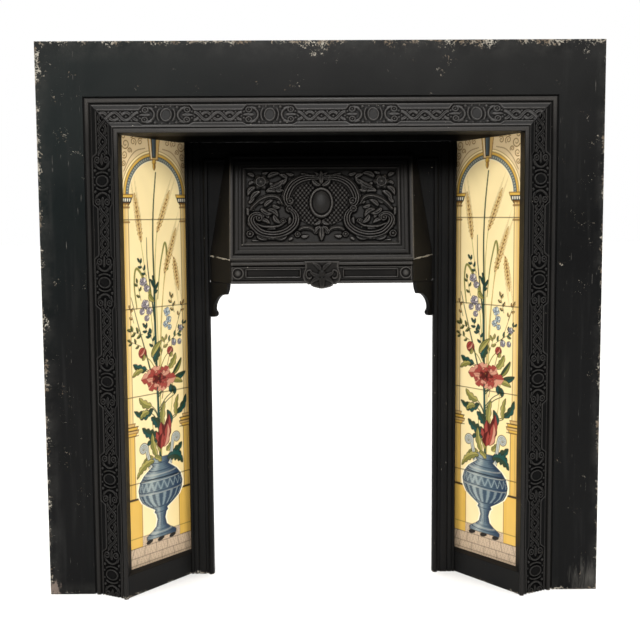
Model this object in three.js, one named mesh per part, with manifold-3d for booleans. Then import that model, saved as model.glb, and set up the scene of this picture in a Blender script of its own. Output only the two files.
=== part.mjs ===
// Cast-iron tiled fireplace insert, in millimetres, +Z up, front facing -Y, standing on z = 0.
import * as THREE from 'three';
import { mergeVertices } from 'three/addons/utils/BufferGeometryUtils.js';
import Module from 'manifold-3d';

// Driving dimensions. Depth is measured from the front of the outer plate, positive towards the wall.
const plateWidth = 954;
const plateHeight = 946;
const ironThick = 8;
const mouldingHalf = 399;
const mouldingTop = 855;
const frontDepth = -31.2;

const tileSize = 152.4;
const tileThick = 10;
const tilePitch = 153;
const tileCount = 5;
const tileBase = 37.7;
const splay = THREE.MathUtils.degToRad(52.2);
const cheekStart = [335.7, 3.6];
const gap = 0.3;

const soffitFront = 791.7;
const soffitThick = 7.9;
const soffitSlope = 0.06;
const soffitStart = -2;

const railHeight = 41.2;
const archFront = 104.4;
const archBack = 111.7;
const archHalf = 241.8;
const archTop = 784.6;
const openingHalf = 200;
const rollOuter = 210;
const rollTop = 757;

const hoodHalf = 162;
const hoodBottom = [50, 578];
const hoodTop = [87, 762];
const hoodWall = 7;
const fieldHalf = 131;
const fieldBottom = 25.6;
const fieldTop = 154.4;
const ovalHeight = 96.9;

const barFront = 54;
const barHalf = 160;
const barEnd = 197.6;
const barBottom = 538;
const barTop = 574.5;

const strapPitch = 19.6;
const strapHalf = 10;
const ovalsAcross = [-258.7, -86.2, 86.2, 258.7];
const ovalsUp = [38, 207, 376, 545, 715];

const wasm = await Module();
wasm.setup();

// Geometry as a closed solid that can be joined and cut
function solid(geometry) {
  const bare = geometry.index ? geometry.clone() : mergeVertices(geometry.clone(), 1e-4);
  bare.deleteAttribute('normal');
  bare.deleteAttribute('uv');
  const welded = mergeVertices(bare, 1e-4);
  return new wasm.Manifold(new wasm.Mesh({
    numProp: 3,
    vertProperties: new Float32Array(welded.attributes.position.array),
    triVerts: new Uint32Array(welded.index.array),
  }));
}

// A joined solid back as geometry with flat faces
function shapeOf(body) {
  const mesh = body.getMesh();
  const geometry = new THREE.BufferGeometry();
  geometry.setAttribute('position', new THREE.BufferAttribute(new Float32Array(mesh.vertProperties), 3));
  geometry.setIndex(new THREE.BufferAttribute(new Uint32Array(mesh.triVerts), 1));
  const flat = geometry.toNonIndexed();
  flat.computeVertexNormals();
  return flat;
}

function joined(geometries) {
  return geometries.map(solid).reduce((whole, next) => whole.add(next));
}

// Closed geometry from points and triangles, turned to face outwards
function closed(points, faces) {
  let volume = 0;
  for (let i = 0; i < faces.length; i += 3) {
    const [a, b, c] = [points[faces[i]], points[faces[i + 1]], points[faces[i + 2]]];
    volume += a[0] * (b[1] * c[2] - b[2] * c[1]);
    volume += a[1] * (b[2] * c[0] - b[0] * c[2]);
    volume += a[2] * (b[0] * c[1] - b[1] * c[0]);
  }
  const outward = volume < 0 ? faces.slice().reverse() : faces;
  const geometry = new THREE.BufferGeometry();
  geometry.setAttribute('position', new THREE.Float32BufferAttribute(points.flat(), 3));
  geometry.setIndex(outward);
  return geometry;
}

// Rings of points joined side by side; the flat outline they share gives the end caps
function skin(rings, outline, loop = false) {
  const flat = outline.map(([a, b]) => new THREE.Vector2(a, b));
  const turned = THREE.ShapeUtils.isClockWise(flat);
  const order = (list) => (turned ? list.slice().reverse() : list);
  const count = outline.length;
  const points = rings.map(order).flat();
  const faces = [];
  const spans = loop ? rings.length : rings.length - 1;
  for (let r = 0; r < spans; r += 1) {
    const next = ((r + 1) % rings.length) * count;
    for (let i = 0; i < count; i += 1) {
      const j = (i + 1) % count;
      faces.push(r * count + i, r * count + j, next + j);
      faces.push(r * count + i, next + j, next + i);
    }
  }
  if (!loop) {
    const last = (rings.length - 1) * count;
    for (const [a, b, c] of THREE.ShapeUtils.triangulateShape(order(flat), [])) {
      faces.push(c, b, a);
      faces.push(last + a, last + b, last + c);
    }
  }
  return closed(points, faces);
}

// A plan outline raised from one height to another
function upright(outline, low, high) {
  const shape = new THREE.Shape(outline.map(([x, y]) => new THREE.Vector2(x, y)));
  const geometry = new THREE.ExtrudeGeometry(shape, { depth: high - low, bevelEnabled: false });
  return geometry.translate(0, 0, low);
}

// An elevation outline in x and z, from a front depth to a back depth
function plate(outline, front, back) {
  const shape = new THREE.Shape(outline.map(([x, z]) => new THREE.Vector2(x, z)));
  const geometry = new THREE.ExtrudeGeometry(shape, { depth: back - front, bevelEnabled: false });
  return geometry.rotateX(Math.PI / 2).translate(0, back, 0);
}

// A profile of inset and forward rise carried up one side, across the top and down the other
function archSweep(profile, half, top, depth) {
  const corners = [[-1, 0], [-1, 1], [1, 1], [1, 0]];
  const rings = corners.map(([side, up]) => profile.map(([inset, rise]) => [
    side * (half - inset),
    depth - rise,
    up * (top - inset),
  ]));
  return skin(rings, profile);
}

function bareCopy(geometry) {
  const copy = geometry.clone();
  copy.deleteAttribute('normal');
  copy.deleteAttribute('uv');
  return copy;
}

function mirrored(outline) {
  return outline.map(([x, y]) => [-x, y]);
}

// A point in plan on the right cheek: distance in from the jamb and distance behind the tile face
function cheek(along, behind) {
  return [
    cheekStart[0] - along * Math.cos(splay) + behind * Math.sin(splay),
    cheekStart[1] + along * Math.sin(splay) + behind * Math.cos(splay),
  ];
}

// Outer casting: plate, moulded frame, soffit, jamb lips and bottom rails
const mouldingProfile = [
  [-4, -8], [-4, -3.6], [2.5, -3.6], [3, -0.6],
  [3.4, 1.6], [5, 3.3], [7, 3.9], [9, 3.3], [10.6, 1.6], [11.2, 0.4],
  [12.4, 0.4], [12.9, 2.8], [23.5, 8.3],
  [24.3, 7.4], [45.4, 19],
  [46.2, 20.7], [53.2, 24.4], [54, 23.6], [55, 24.2],
  [55.2, 27.2], [56.3, 29.8], [58.4, 31.2], [60.6, 30.4], [62, 28], [62.3, 25.2],
  [63.3, 2], [55.4, 2], [55, 16.5], [47, 11.5], [14, -6.2], [10.5, -8],
];

const friezeMid = [34.85, 13.2];
const friezeTilt = Math.atan2(19 - 7.4, 45.4 - 24.3);

// A point on the sloping frieze: distance along the leg, across the slope and out from its floor
function friezePoint(leg, along, across, lift) {
  const inset = friezeMid[0] + across * Math.cos(friezeTilt) - lift * Math.sin(friezeTilt);
  const rise = friezeMid[1] + across * Math.sin(friezeTilt) + lift * Math.cos(friezeTilt);
  if (leg === 0) {
    return [along, -rise, mouldingTop - inset];
  }
  return [leg * (mouldingHalf - inset), -rise, along];
}

// Crossing straps: each half cell is split along the strap, which is its ridge
function straps(leg, start, cells) {
  const columns = 2 * cells + 1;
  const points = [];
  for (let c = 0; c < columns; c += 1) {
    const along = start + c * strapPitch / 2;
    const edge = c % 2 ? 0.5 : 2.6;
    const middle = c % 2 ? 2.6 : 0.5;
    points.push(friezePoint(leg, along, -strapHalf, -2));
    points.push(friezePoint(leg, along, -strapHalf, edge));
    points.push(friezePoint(leg, along, 0, middle));
    points.push(friezePoint(leg, along, strapHalf, edge));
    points.push(friezePoint(leg, along, strapHalf, -2));
  }
  const faces = [0, 1, 2, 0, 2, 4, 4, 2, 3];
  for (let c = 0; c + 1 < columns; c += 1) {
    const a = 5 * c;
    const b = a + 5;
    faces.push(a, b, b + 1, a, b + 1, a + 1);
    if (c % 2) {
      faces.push(a + 1, b + 1, a + 2, b + 1, b + 2, a + 2);
      faces.push(a + 2, b + 2, b + 3, a + 2, b + 3, a + 3);
    } else {
      faces.push(a + 1, b + 1, b + 2, a + 1, b + 2, a + 2);
      faces.push(a + 2, b + 2, a + 3, b + 2, b + 3, a + 3);
    }
    faces.push(a + 3, b + 3, b + 4, a + 3, b + 4, a + 4);
    faces.push(a + 4, b + 4, b, a + 4, b, a);
  }
  const e = 5 * (columns - 1);
  faces.push(e + 2, e + 1, e, e + 4, e + 2, e, e + 3, e + 2, e + 4);
  return closed(points, faces);
}

// A faceted lump on the frieze: half lengths along and across, rise, share of the top that is flat, turn
function lump(leg, at, size, top, turn, segments) {
  const cone = new THREE.CylinderGeometry(top, 1, size[2] + 2, segments, 1);
  cone.rotateX(Math.PI / 2).translate(0, 0, size[2] / 2 - 1);
  cone.scale(size[0], size[1], 1).rotateZ(turn).translate(at[0], at[1], 0);
  const welded = mergeVertices(bareCopy(cone), 1e-3);
  const points = [];
  for (let i = 0; i < welded.attributes.position.count; i += 1) {
    const spot = new THREE.Vector3().fromBufferAttribute(welded.attributes.position, i);
    points.push(friezePoint(leg, spot.x, spot.y, spot.z));
  }
  return closed(points, wholeFaces(welded.index.array));
}

// Triangles that kept three different corners
function wholeFaces(index) {
  const faces = [];
  for (let i = 0; i < index.length; i += 3) {
    const [a, b, c] = [index[i], index[i + 1], index[i + 2]];
    if (a !== b && b !== c && a !== c) {
      faces.push(a, b, c);
    }
  }
  return faces;
}

// Oval cabochon with a calyx of leaves on either side
function cartouche(leg, along, low) {
  const found = [lump(leg, [along, 0], [9.5, 10.8, 4], 0.5, 0, 8)];
  for (const end of [-1, 1]) {
    for (const side of [-1, 1]) {
      if (along + end * 20 > low) {
        found.push(lump(leg, [along + end * 19, side * 5.4], [8, 3.4, 3.4], 0.12, end * side * 0.6, 4));
      }
      if (along + end * 34 > low) {
        found.push(lump(leg, [along + end * 33, side * 5.2], [8, 3.2, 2.8], 0.12, -end * side * 0.5, 4));
      }
    }
  }
  return found;
}

const outerPlate = [
  [-plateWidth / 2, 0], [-plateWidth / 2, plateHeight], [plateWidth / 2, plateHeight],
  [plateWidth / 2, 0], [mouldingHalf, 0], [mouldingHalf, mouldingTop],
  [-mouldingHalf, mouldingTop], [-mouldingHalf, 0],
];
const jambLip = [
  [335.7, soffitStart], cheek(0, -gap), cheek(-2.2, -gap),
  cheek(-2.2, 12), cheek(-8.5, 12), [343.6, soffitStart],
];
const railFace = [[337, -24], [242.1, 104.1], [249, 107.8], [343, -20]];
const railShelf = [
  [337, -24], [242.1, 104.1], cheek(150.6, -gap), cheek(-2.2, -gap), [341, -6],
];
const tileLedge = [cheek(-5, -1.3), cheek(150.6, -1.3), cheek(150.6, 12), cheek(-5, 12)];
const soffitPlan = [
  [335.7, soffitStart], cheek(0, -gap), cheek(136.9, -gap),
  ...mirrored([cheek(136.9, -gap), cheek(0, -gap), [335.7, soffitStart]]),
];
const soffitRise = (lift) => soffitPlan.map(([x, y]) => [
  x, y, soffitFront - soffitSlope * (y - soffitStart) + lift,
]);

const framePieces = [
  plate(outerPlate, 0, ironThick),
  archSweep(mouldingProfile, mouldingHalf, mouldingTop, 0),
  skin([soffitRise(0), soffitRise(soffitThick)], soffitPlan),
];
for (const flip of [(outline) => outline, mirrored]) {
  framePieces.push(upright(flip(jambLip), 0, soffitFront + soffitThick));
  framePieces.push(upright(flip(railFace), 0, railHeight));
  framePieces.push(upright(flip(railShelf), 30, railHeight));
  framePieces.push(upright(flip(tileLedge), 30, tileBase - 0.5));
}
for (const along of ovalsAcross) {
  framePieces.push(...cartouche(0, along, -400));
}
for (const middle of [-172.45, 0, 172.45]) {
  framePieces.push(straps(0, middle - 2 * strapPitch, 4));
}
framePieces.push(straps(0, 303, 2), straps(0, -303 - 2 * strapPitch, 2));
for (const leg of [-1, 1]) {
  for (const along of ovalsUp) {
    framePieces.push(...cartouche(leg, along, 12));
  }
  for (let i = 0; i + 1 < ovalsUp.length; i += 1) {
    const middle = (ovalsUp[i] + ovalsUp[i + 1]) / 2;
    framePieces.push(straps(leg, middle - 2 * strapPitch, 4));
  }
  framePieces.push(straps(leg, 759, 2));
}
const surroundFrame = joined(framePieces);

const quad = [[0, 0], [1, 0], [1, 1], [0, 1]];

// Inner arch: plate with a stepped opening, reeded stiles, roll moulding and splayed corner brackets
const archOutline = [
  [-archHalf, 0], [-archHalf, archTop], [archHalf, archTop], [archHalf, 0],
  [openingHalf, 0], [openingHalf, 541], [186, 541], [158, 738],
  [-158, 738], [-186, 541], [-openingHalf, 541], [-openingHalf, 0],
];
const rollProfile = [
  [0, -1], [0, 0.2], [0.7, 3], [2.5, 5.2], [4.5, 6], [6.5, 5.2], [8.3, 3], [9, 0.2], [9, -1],
];
const reedProfile = [
  [archHalf, archFront + 1], [archHalf, archFront - 1.2], [240.6, archFront - 2.6],
  [238.8, archFront - 2.6], [237.6, archFront - 0.6], [235.8, archFront - 0.4],
  [234.8, archFront - 2.4], [229.4, archFront - 2.4], [228.2, archFront - 0.6],
  [227, archFront - 2.4], [214.6, archFront - 2.4], [213.4, archFront - 0.2], [213.4, archFront + 1],
];
const stileFlange = [[234.8, archBack - 1], [archHalf, archBack - 1], [archHalf, 128], [234.8, 128]];
const splayRun = Math.hypot(openingHalf - barHalf, archFront - barFront);
const bracketOutline = new THREE.Shape();
bracketOutline.moveTo(-3, 537.4);
bracketOutline.lineTo(64, 537.4);
bracketOutline.lineTo(64, 533.5);
bracketOutline.quadraticCurveTo(62, 522, 54, 519.5);
bracketOutline.lineTo(40, 519.5);
bracketOutline.quadraticCurveTo(12, 517, 11.4, 486);
bracketOutline.quadraticCurveTo(17, 481, 11, 478);
bracketOutline.quadraticCurveTo(4, 476, 0, 470);
bracketOutline.lineTo(-3, 470);
const bracketFlat = new THREE.ExtrudeGeometry(bracketOutline, {
  depth: hoodWall, bevelEnabled: false, curveSegments: 6,
});

function bracket(side) {
  const inward = new THREE.Vector3(-side * (openingHalf - barHalf), barFront - archFront, 0);
  inward.divideScalar(splayRun);
  const across = new THREE.Vector3(inward.y, -inward.x, 0).multiplyScalar(side);
  const basis = new THREE.Matrix4().makeBasis(inward, new THREE.Vector3(0, 0, 1), across);
  basis.setPosition(side * openingHalf, archFront, 0);
  const points = [];
  const source = mergeVertices(bareCopy(bracketFlat), 1e-4);
  for (let i = 0; i < source.attributes.position.count; i += 1) {
    const at = new THREE.Vector3().fromBufferAttribute(source.attributes.position, i);
    points.push(at.applyMatrix4(basis).toArray());
  }
  return closed(points, [...source.index.array]);
}

// The roll stops short of the hood, whose sides stand in front of it
const hoodClear = skin([
  [[-hoodHalf - 1, 46, 570], [hoodHalf + 1, 46, 570], [hoodHalf + 1, 84, 770], [-hoodHalf - 1, 84, 770]],
  [[-201, archFront, 584], [201, archFront, 584], [170.5, archFront, 770], [-170.5, archFront, 770]],
], quad);
const roll = solid(archSweep(rollProfile, rollOuter, rollTop, archFront)).subtract(solid(hoodClear));
const innerArch = joined([
  plate(archOutline, archFront, archBack),
  upright(reedProfile, 0, archTop),
  upright(mirrored(reedProfile), 0, archTop),
  upright(stileFlange, 0, archTop),
  upright(mirrored(stileFlange), 0, archTop),
  bracket(1),
  bracket(-1),
]).add(roll);

// Hood: a leaning shell open behind and below, with a stepped border and scroll relief
const lean = Math.atan2(hoodTop[0] - hoodBottom[0], hoodTop[1] - hoodBottom[1]);
const panelLength = Math.hypot(hoodTop[0] - hoodBottom[0], hoodTop[1] - hoodBottom[1]);
const hoodFace = new THREE.Matrix4().makeBasis(
  new THREE.Vector3(1, 0, 0),
  new THREE.Vector3(0, Math.sin(lean), Math.cos(lean)),
  new THREE.Vector3(0, -Math.cos(lean), Math.sin(lean)),
).setPosition(0, hoodBottom[0], hoodBottom[1]);
const hoodRelief = hoodFace.clone().multiply(new THREE.Matrix4().makeTranslation(0, ovalHeight, -4));
const hoodBack = archFront - gap;
const shellOutside = skin([
  [[-hoodHalf, ...hoodBottom], [hoodHalf, ...hoodBottom], [hoodHalf, ...hoodTop], [-hoodHalf, ...hoodTop]],
  [[-199.7, hoodBack, 584], [199.7, hoodBack, 584], [169, hoodBack, 762], [-169, hoodBack, 762]],
], quad);
const shellInside = skin([
  [[-152, 61, 560], [152, 61, 560], [152, 97, 754], [-152, 97, 754]],
  [[-193, 120, 560], [193, 120, 560], [160, 120, 754], [-160, 120, 754]],
], quad);
const borderProfile = [
  [0, -3], [0, 0.4], [1.5, 2.2], [5.5, 2.2], [7, 0.6], [9, 0.6], [10.5, 3.4], [16.5, 3.4],
  [18.5, 0.6], [21, 0.6], [24.5, -4.4], [24.5, -5],
];
const borderRings = [[-1, 0], [1, 0], [1, 1], [-1, 1]].map(([side, up]) => borderProfile.map(
  ([inset, lift]) => [
    side * (fieldHalf + 25 - inset),
    up ? fieldTop + 25 - inset : fieldBottom - 25 + inset,
    lift,
  ],
));
const fieldCut = new THREE.BoxGeometry(2 * fieldHalf + 6, fieldTop - fieldBottom + 6, 8);
fieldCut.translate(0, (fieldTop + fieldBottom) / 2, 0);

// A raised band along a plane curve, narrowing at its ends
function ribbon(path, width, height, steps) {
  const knots = path.map(([u, v]) => new THREE.Vector3(u, v, 0));
  const curve = new THREE.CatmullRomCurve3(knots, false, 'centripetal');
  const section = [[1, -2], [0.62, height], [-0.62, height], [-1, -2]];
  const rings = [];
  for (let i = 0; i <= steps; i += 1) {
    const at = curve.getPoint(i / steps);
    const along = curve.getTangent(i / steps);
    const half = 0.5 * width * (0.55 + 0.45 * Math.sin(Math.PI * i / steps));
    rings.push(section.map(([side, lift]) => [
      at.x - side * half * along.y,
      at.y + side * half * along.x,
      lift,
    ]));
  }
  return skin(rings, section);
}

// A round or oval boss with a sunk ring inside its rim
function boss(u, v, wide, tall, height, segments) {
  const profile = [
    [0, -2], [1, -2], [1, 0.4 * height], [0.84, height],
    [0.7, 0.35 * height], [0.4, 0.85 * height], [0, height],
  ];
  const turned = new THREE.LatheGeometry(profile.map(([r, z]) => new THREE.Vector2(r, z)), segments);
  turned.rotateX(Math.PI / 2).scale(wide, tall, 1).translate(u, v, 0);
  const bare = mergeVertices(bareCopy(turned), 1e-3);
  const points = [];
  for (let i = 0; i < bare.attributes.position.count; i += 1) {
    points.push(new THREE.Vector3().fromBufferAttribute(bare.attributes.position, i).toArray());
  }
  return closed(points, wholeFaces(bare.index.array));
}

// Scrolls of one half of the hood panel, from its centre line outwards
function scrolls(side) {
  const turn = (path) => path.map(([u, v]) => [side * u, v]);
  return [
    ribbon(turn([[6, 46], [20, 46], [36, 43], [50, 33], [59, 20], [62, 8], [58, 0]]), 15, 6, 10),
    ribbon(turn([
      [53, -15], [47, -22], [45, -31], [48, -42], [60, -52.5], [75, -58],
      [91, -58.5], [106, -54.5], [117, -44], [122, -34], [118, -26],
    ]), 14, 6, 15),
    ribbon(turn([[122, -10], [107, 6], [88, 13], [75, 9], [68, -3]]), 10, 5, 7),
    ribbon(turn([[97, -13], [86, -17], [78, -24], [74, -32]]), 10, 4.5, 4),
    ribbon(turn([[97, -34], [88, -40], [76, -40], [66, -34]]), 8, 4, 4),
    ribbon(turn([[39, -50], [27, -47], [14, -50]]), 8, 4.5, 4),
    ribbon(turn([[84, 42], [78, 36], [70, 34]]), 9, 4, 4),
    boss(side * 56, 1, 7, 7, 6.5, 8),
    boss(side * 111, -28, 6, 6, 6, 8),
    boss(side * 106, 39, 15, 15, 6, 10),
    boss(side * 42, -59, 5.5, 5.5, 5, 6),
    boss(side * 124, -56, 5.5, 5.5, 4.5, 6),
  ];
}

const reliefPieces = [
  boss(0, 0, 19, 26, 8.5, 16),
  ribbon([[0, 60], [0, 48], [0, 34]], 30, 6.5, 4),
  ribbon([[0, -52], [0, -60], [0, -69]], 16, 5, 3),
  ...scrolls(1),
  ...scrolls(-1),
];
for (let row = -3; row <= 3; row += 1) {
  for (let column = -2; column <= 2; column += 1) {
    const u = 15 * column + (row % 2 ? 7.5 : 0);
    const v = 11 * row;
    if (Math.hypot(u / 19, v / 26) > 1.35 && Math.hypot(u, v - 8) < 42) {
      const pellet = new THREE.OctahedronGeometry(3).scale(1, 1, 0.8).translate(u, v, 0);
      reliefPieces.push(mergeVertices(bareCopy(pellet), 1e-4));
    }
  }
}
const hoodShell = solid(shellOutside)
  .subtract(solid(shellInside))
  .subtract(solid(fieldCut.applyMatrix4(hoodFace)))
  .add(solid(skin(borderRings, borderProfile, true).applyMatrix4(hoodFace)));
const hoodBody = reliefPieces
  .map((piece) => solid(piece.applyMatrix4(hoodRelief)))
  .reduce((whole, piece) => whole.add(piece), hoodShell);

// Hood rail: a moulded bar with splayed returns, two roundels and a centre cartouche
const barProfile = [
  [-8, barBottom], [-1, barBottom], [0.4, 539.5], [0.4, 544.5], [-1.6, 545.4], [-1.6, 546.6],
  [0.6, 547.2], [1.4, 549], [0.6, 550.8], [-1.8, 551.4], [-1.8, 562.6], [-0.2, 563.4],
  [0.6, 565.2], [-0.2, 567], [-1.6, 567.6], [-1.6, 569.2], [0.8, 569.8], [2, 572], [1.4, barTop],
  [-3, barTop], [-3, 577.5], [-8, 577.5],
];
const returnRun = [barEnd - barHalf, hoodBack - barFront];
const returnLength = Math.hypot(...returnRun);
const returnNormal = [returnRun[1] / returnLength, -returnRun[0] / returnLength];
const cornerScale = 1 / (1 - returnNormal[1]);
const barStations = [
  [barEnd, hoodBack, 1 / returnNormal[0], 0],
  [barHalf, barFront, returnNormal[0] * cornerScale, (returnNormal[1] - 1) * cornerScale],
];
const barPath = [
  ...barStations,
  ...barStations.map(([x, y, outX, outY]) => [-x, y, -outX, outY]).reverse(),
];
const barRings = barPath.map(([x, y, outX, outY]) => barProfile.map(
  ([out, z]) => [x + out * outX, y + out * outY, z],
));
const shield = new THREE.Shape();
shield.moveTo(-30, barTop - 1);
shield.lineTo(30, barTop - 1);
shield.quadraticCurveTo(34, 562, 28, 556);
shield.quadraticCurveTo(33, 546, 24, barBottom + 2);
shield.quadraticCurveTo(20, 533, 11, 534);
shield.quadraticCurveTo(6, 528, 0, 527.5);
shield.quadraticCurveTo(-6, 528, -11, 534);
shield.quadraticCurveTo(-20, 533, -24, barBottom + 2);
shield.quadraticCurveTo(-33, 546, -28, 556);
shield.quadraticCurveTo(-34, 562, -30, barTop - 1);
const shieldPlate = new THREE.ExtrudeGeometry(shield, { depth: 9, bevelEnabled: false, curveSegments: 5 });
shieldPlate.rotateX(Math.PI / 2).translate(0, barFront + 6, 0);
const barFace = new THREE.Matrix4().makeBasis(
  new THREE.Vector3(1, 0, 0),
  new THREE.Vector3(0, 0, 1),
  new THREE.Vector3(0, -1, 0),
).setPosition(0, barFront + 1.8, 0);
const barOrnament = [
  boss(-147, 555, 8.7, 8.7, 5, 12),
  boss(147, 555, 8.7, 8.7, 5, 12),
];
const shieldFace = barFace.clone().multiply(new THREE.Matrix4().makeTranslation(0, 0, 4.8));
const shieldOrnament = [
  boss(0, 555, 7, 8, 3.6, 10),
  ribbon([[12, 566], [20, 562], [22, 553], [17, 545]], 7, 2.6, 6),
  ribbon([[-12, 566], [-20, 562], [-22, 553], [-17, 545]], 7, 2.6, 6),
  ribbon([[0, 544], [0, 537], [0, 530]], 10, 2.4, 3),
];
const hoodRail = [
  skin(barRings, barProfile),
  shieldPlate,
  ...barOrnament.map((piece) => piece.applyMatrix4(barFace)),
  ...shieldOrnament.map((piece) => piece.applyMatrix4(shieldFace)),
].map(solid).reduce((whole, piece) => whole.add(piece));

// Finishes
const blackIron = new THREE.MeshStandardMaterial({ color: '#262727', roughness: 0.55, metalness: 0.25 });
const hoodIron = new THREE.MeshStandardMaterial({ color: '#343536', roughness: 0.5, metalness: 0.3 });
const glaze = new THREE.MeshStandardMaterial({ color: '#efe0b8', roughness: 0.2, metalness: 0 });

function named(name, geometry, material) {
  const mesh = new THREE.Mesh(geometry, material.clone());
  mesh.name = name;
  return mesh;
}

const insert = new THREE.Group();
insert.name = 'fireplace_surround';
const body = new THREE.Group();
body.position.y = -(frontDepth + cheek(150.6, 12)[1]) / 2;
insert.add(body);
body.add(named('surround_frame', shapeOf(surroundFrame), blackIron));
body.add(named('inner_arch', shapeOf(innerArch), blackIron));
body.add(named('hood', shapeOf(hoodBody), hoodIron));
body.add(named('hood_rail', shapeOf(hoodRail), hoodIron));

// Five tiles up each cheek, numbered from the top
for (const [word, side] of [['left', -1], ['right', 1]]) {
  const column = new THREE.Group();
  column.position.set(side * cheekStart[0], cheekStart[1], 0);
  column.rotation.z = side > 0 ? Math.PI - splay : splay;
  for (let i = 0; i < tileCount; i += 1) {
    const slab = new THREE.BoxGeometry(tileSize, tileThick, tileSize);
    const tile = named('tile_' + word + '_' + (tileCount - i), slab, glaze);
    tile.position.set(tileSize / 2 - 1.5, -side * tileThick / 2, tileBase + tileSize / 2 + i * tilePitch);
    column.add(tile);
  }
  body.add(column);
}

export default insert;
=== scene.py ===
import math
from functools import partial
import bpy
import numpy as np
from mathutils import Matrix, Vector


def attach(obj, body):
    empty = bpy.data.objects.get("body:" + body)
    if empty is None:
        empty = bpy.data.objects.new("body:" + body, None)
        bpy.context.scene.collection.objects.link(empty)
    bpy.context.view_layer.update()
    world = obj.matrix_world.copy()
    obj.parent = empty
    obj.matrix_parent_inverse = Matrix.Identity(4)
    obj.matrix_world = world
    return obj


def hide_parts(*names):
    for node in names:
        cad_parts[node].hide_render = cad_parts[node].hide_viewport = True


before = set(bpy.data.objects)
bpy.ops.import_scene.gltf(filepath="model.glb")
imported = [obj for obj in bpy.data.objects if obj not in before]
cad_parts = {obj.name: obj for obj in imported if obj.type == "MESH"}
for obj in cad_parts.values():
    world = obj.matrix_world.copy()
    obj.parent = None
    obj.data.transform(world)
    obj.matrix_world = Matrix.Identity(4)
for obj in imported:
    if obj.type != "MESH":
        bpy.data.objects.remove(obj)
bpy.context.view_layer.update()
print("frame loaded with", len(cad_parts), "nodes")

depthShift = -49.3761  # mm from the plate's front face to the frame's origin
bothSides = (("Right", 1), ("Left", -1))


# sRGB hex to linear light: the toe divided by 12.92, the rest a power of 2.4
def linear(hexColour):
    c = np.array([int(hexColour[i:i + 2], 16) / 255 for i in (1, 3, 5)])
    return np.where(c <= 0.04045, c / 12.92, ((c + 0.055) / 1.055) ** 2.4)


# linear light with full cover, for a socket
def rgba(hexColour):
    return (*linear(hexColour), 1.0)


# eased step from 0 at low to 1 at high: three squares less two cubes
def ease(low, high, x):
    t = np.clip((x - low) / (high - low), 0, 1)
    return t * t * (3 - 2 * t)


# the highest of several reliefs at each point
def highest(*lifts):
    return np.maximum.reduce(np.broadcast_arrays(*lifts))


# a named output of a node, or the first that is in use
def outputOf(source):
    if isinstance(source, tuple):
        return source[0].outputs[source[1]]
    return next(output for output in source.outputs if output.enabled)


# adds a node with its settings, values and links
def addNode(tree, kind, values=None, links=None, **settings):
    made = tree.nodes.new("ShaderNode" + kind)
    for key, value in settings.items():
        setattr(made, key, value)
    for key, value in (values or {}).items():
        made.inputs[key].default_value = value
    for key, source in (links or {}).items():
        tree.links.new(outputOf(source), made.inputs[key])
    return made


# values of a noise, its scale from a grain in millimetres
def noise(grainMm, detail=2.0, roughness=0.5):
    return {"Scale": 1000 / grainMm, "Detail": detail, "Roughness": roughness}


# values that carry one range of numbers over to another
def span(fromLow, fromHigh, toLow=0.0, toHigh=1.0):
    return {"From Min": fromLow, "From Max": fromHigh, "To Min": toLow, "To Max": toHigh}


# a row of quads between neighbouring rows and columns of a grid, wrapped round where closed
def gridQuads(rows, columns, wrap=False):
    index = np.arange(rows * columns).reshape(rows, columns)
    right = np.roll(index, -1, 1) if wrap else index[:, 1:]
    left = index if wrap else index[:, :-1]
    return np.stack([left[:-1], right[:-1], right[1:], left[1:]], -1).reshape(-1, 4)


# a mesh object in millimetres about the plate's front face, turned outwards, riding on the fixed body;
# without a facing, the sign of its volume about the middle tells which side is out
def makePiece(name, points, quads, material, node, caps=(), facing=None, sharp=38, values=None,
              colours=None):
    points = np.asarray(points, float).reshape(-1, 3)
    a, b, c, d = (points[quads[:, i]] for i in range(4))
    if facing is None:
        middle = points.mean(0)
        turn = (np.cross(a - middle, b - middle) * (c - middle)).sum() < 0
    else:
        turn = (np.cross(c - a, d - b) @ np.asarray(facing, float)).sum() < 0
    faces = quads[:, ::-1] if turn else quads
    mesh = bpy.data.meshes.new(name)
    placed = (points + (0, depthShift, 0)) / 1000
    if len(caps):
        ends = [list(cap)[::-1] if turn else list(cap) for cap in caps]
        mesh.from_pydata(placed.tolist(), [], faces.tolist() + ends)
    else:
        mesh.vertices.add(len(placed))
        mesh.vertices.foreach_set("co", placed.astype(np.float32).ravel())
        mesh.loops.add(faces.size)
        mesh.loops.foreach_set("vertex_index", faces.astype(np.int32).ravel())
        mesh.polygons.add(len(faces))
        mesh.polygons.foreach_set("loop_start", np.arange(0, faces.size, 4, dtype=np.int32))
    mesh.update(calc_edges=True)
    mesh.polygons.foreach_set("use_smooth", np.ones(len(mesh.polygons), bool))
    if sharp:
        mesh.set_sharp_from_angle(angle=math.radians(sharp))
    for key, value in (values or {}).items():
        layer = mesh.attributes.new(key, "FLOAT", "POINT")
        layer.data.foreach_set("value", np.asarray(value, np.float32).ravel())
    for key, value in (colours or {}).items():
        layer = mesh.color_attributes.new(key, "FLOAT_COLOR", "POINT")
        full = np.ones((len(placed), 4), np.float32)
        full[:, :3] = np.asarray(value, np.float32).reshape(-1, 3)
        layer.data.foreach_set("color", full.ravel())
    mesh.validate()
    made = bpy.data.objects.new(name, mesh)
    bpy.context.scene.collection.objects.link(made)
    mesh.materials.append(material)
    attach(made, "root")
    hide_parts(node)
    return made


# a profile carried through a list of rings, its two ends closed
def sweptPiece(name, rings, material, node, values=None):
    rings = np.asarray(rings, float)
    stations, count = rings.shape[:2]
    last = (stations - 1) * count
    caps = [range(count - 1, -1, -1), range(last, last + count)]
    return makePiece(name, rings, gridQuads(stations, count, True), material, node, caps, values=values)


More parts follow.
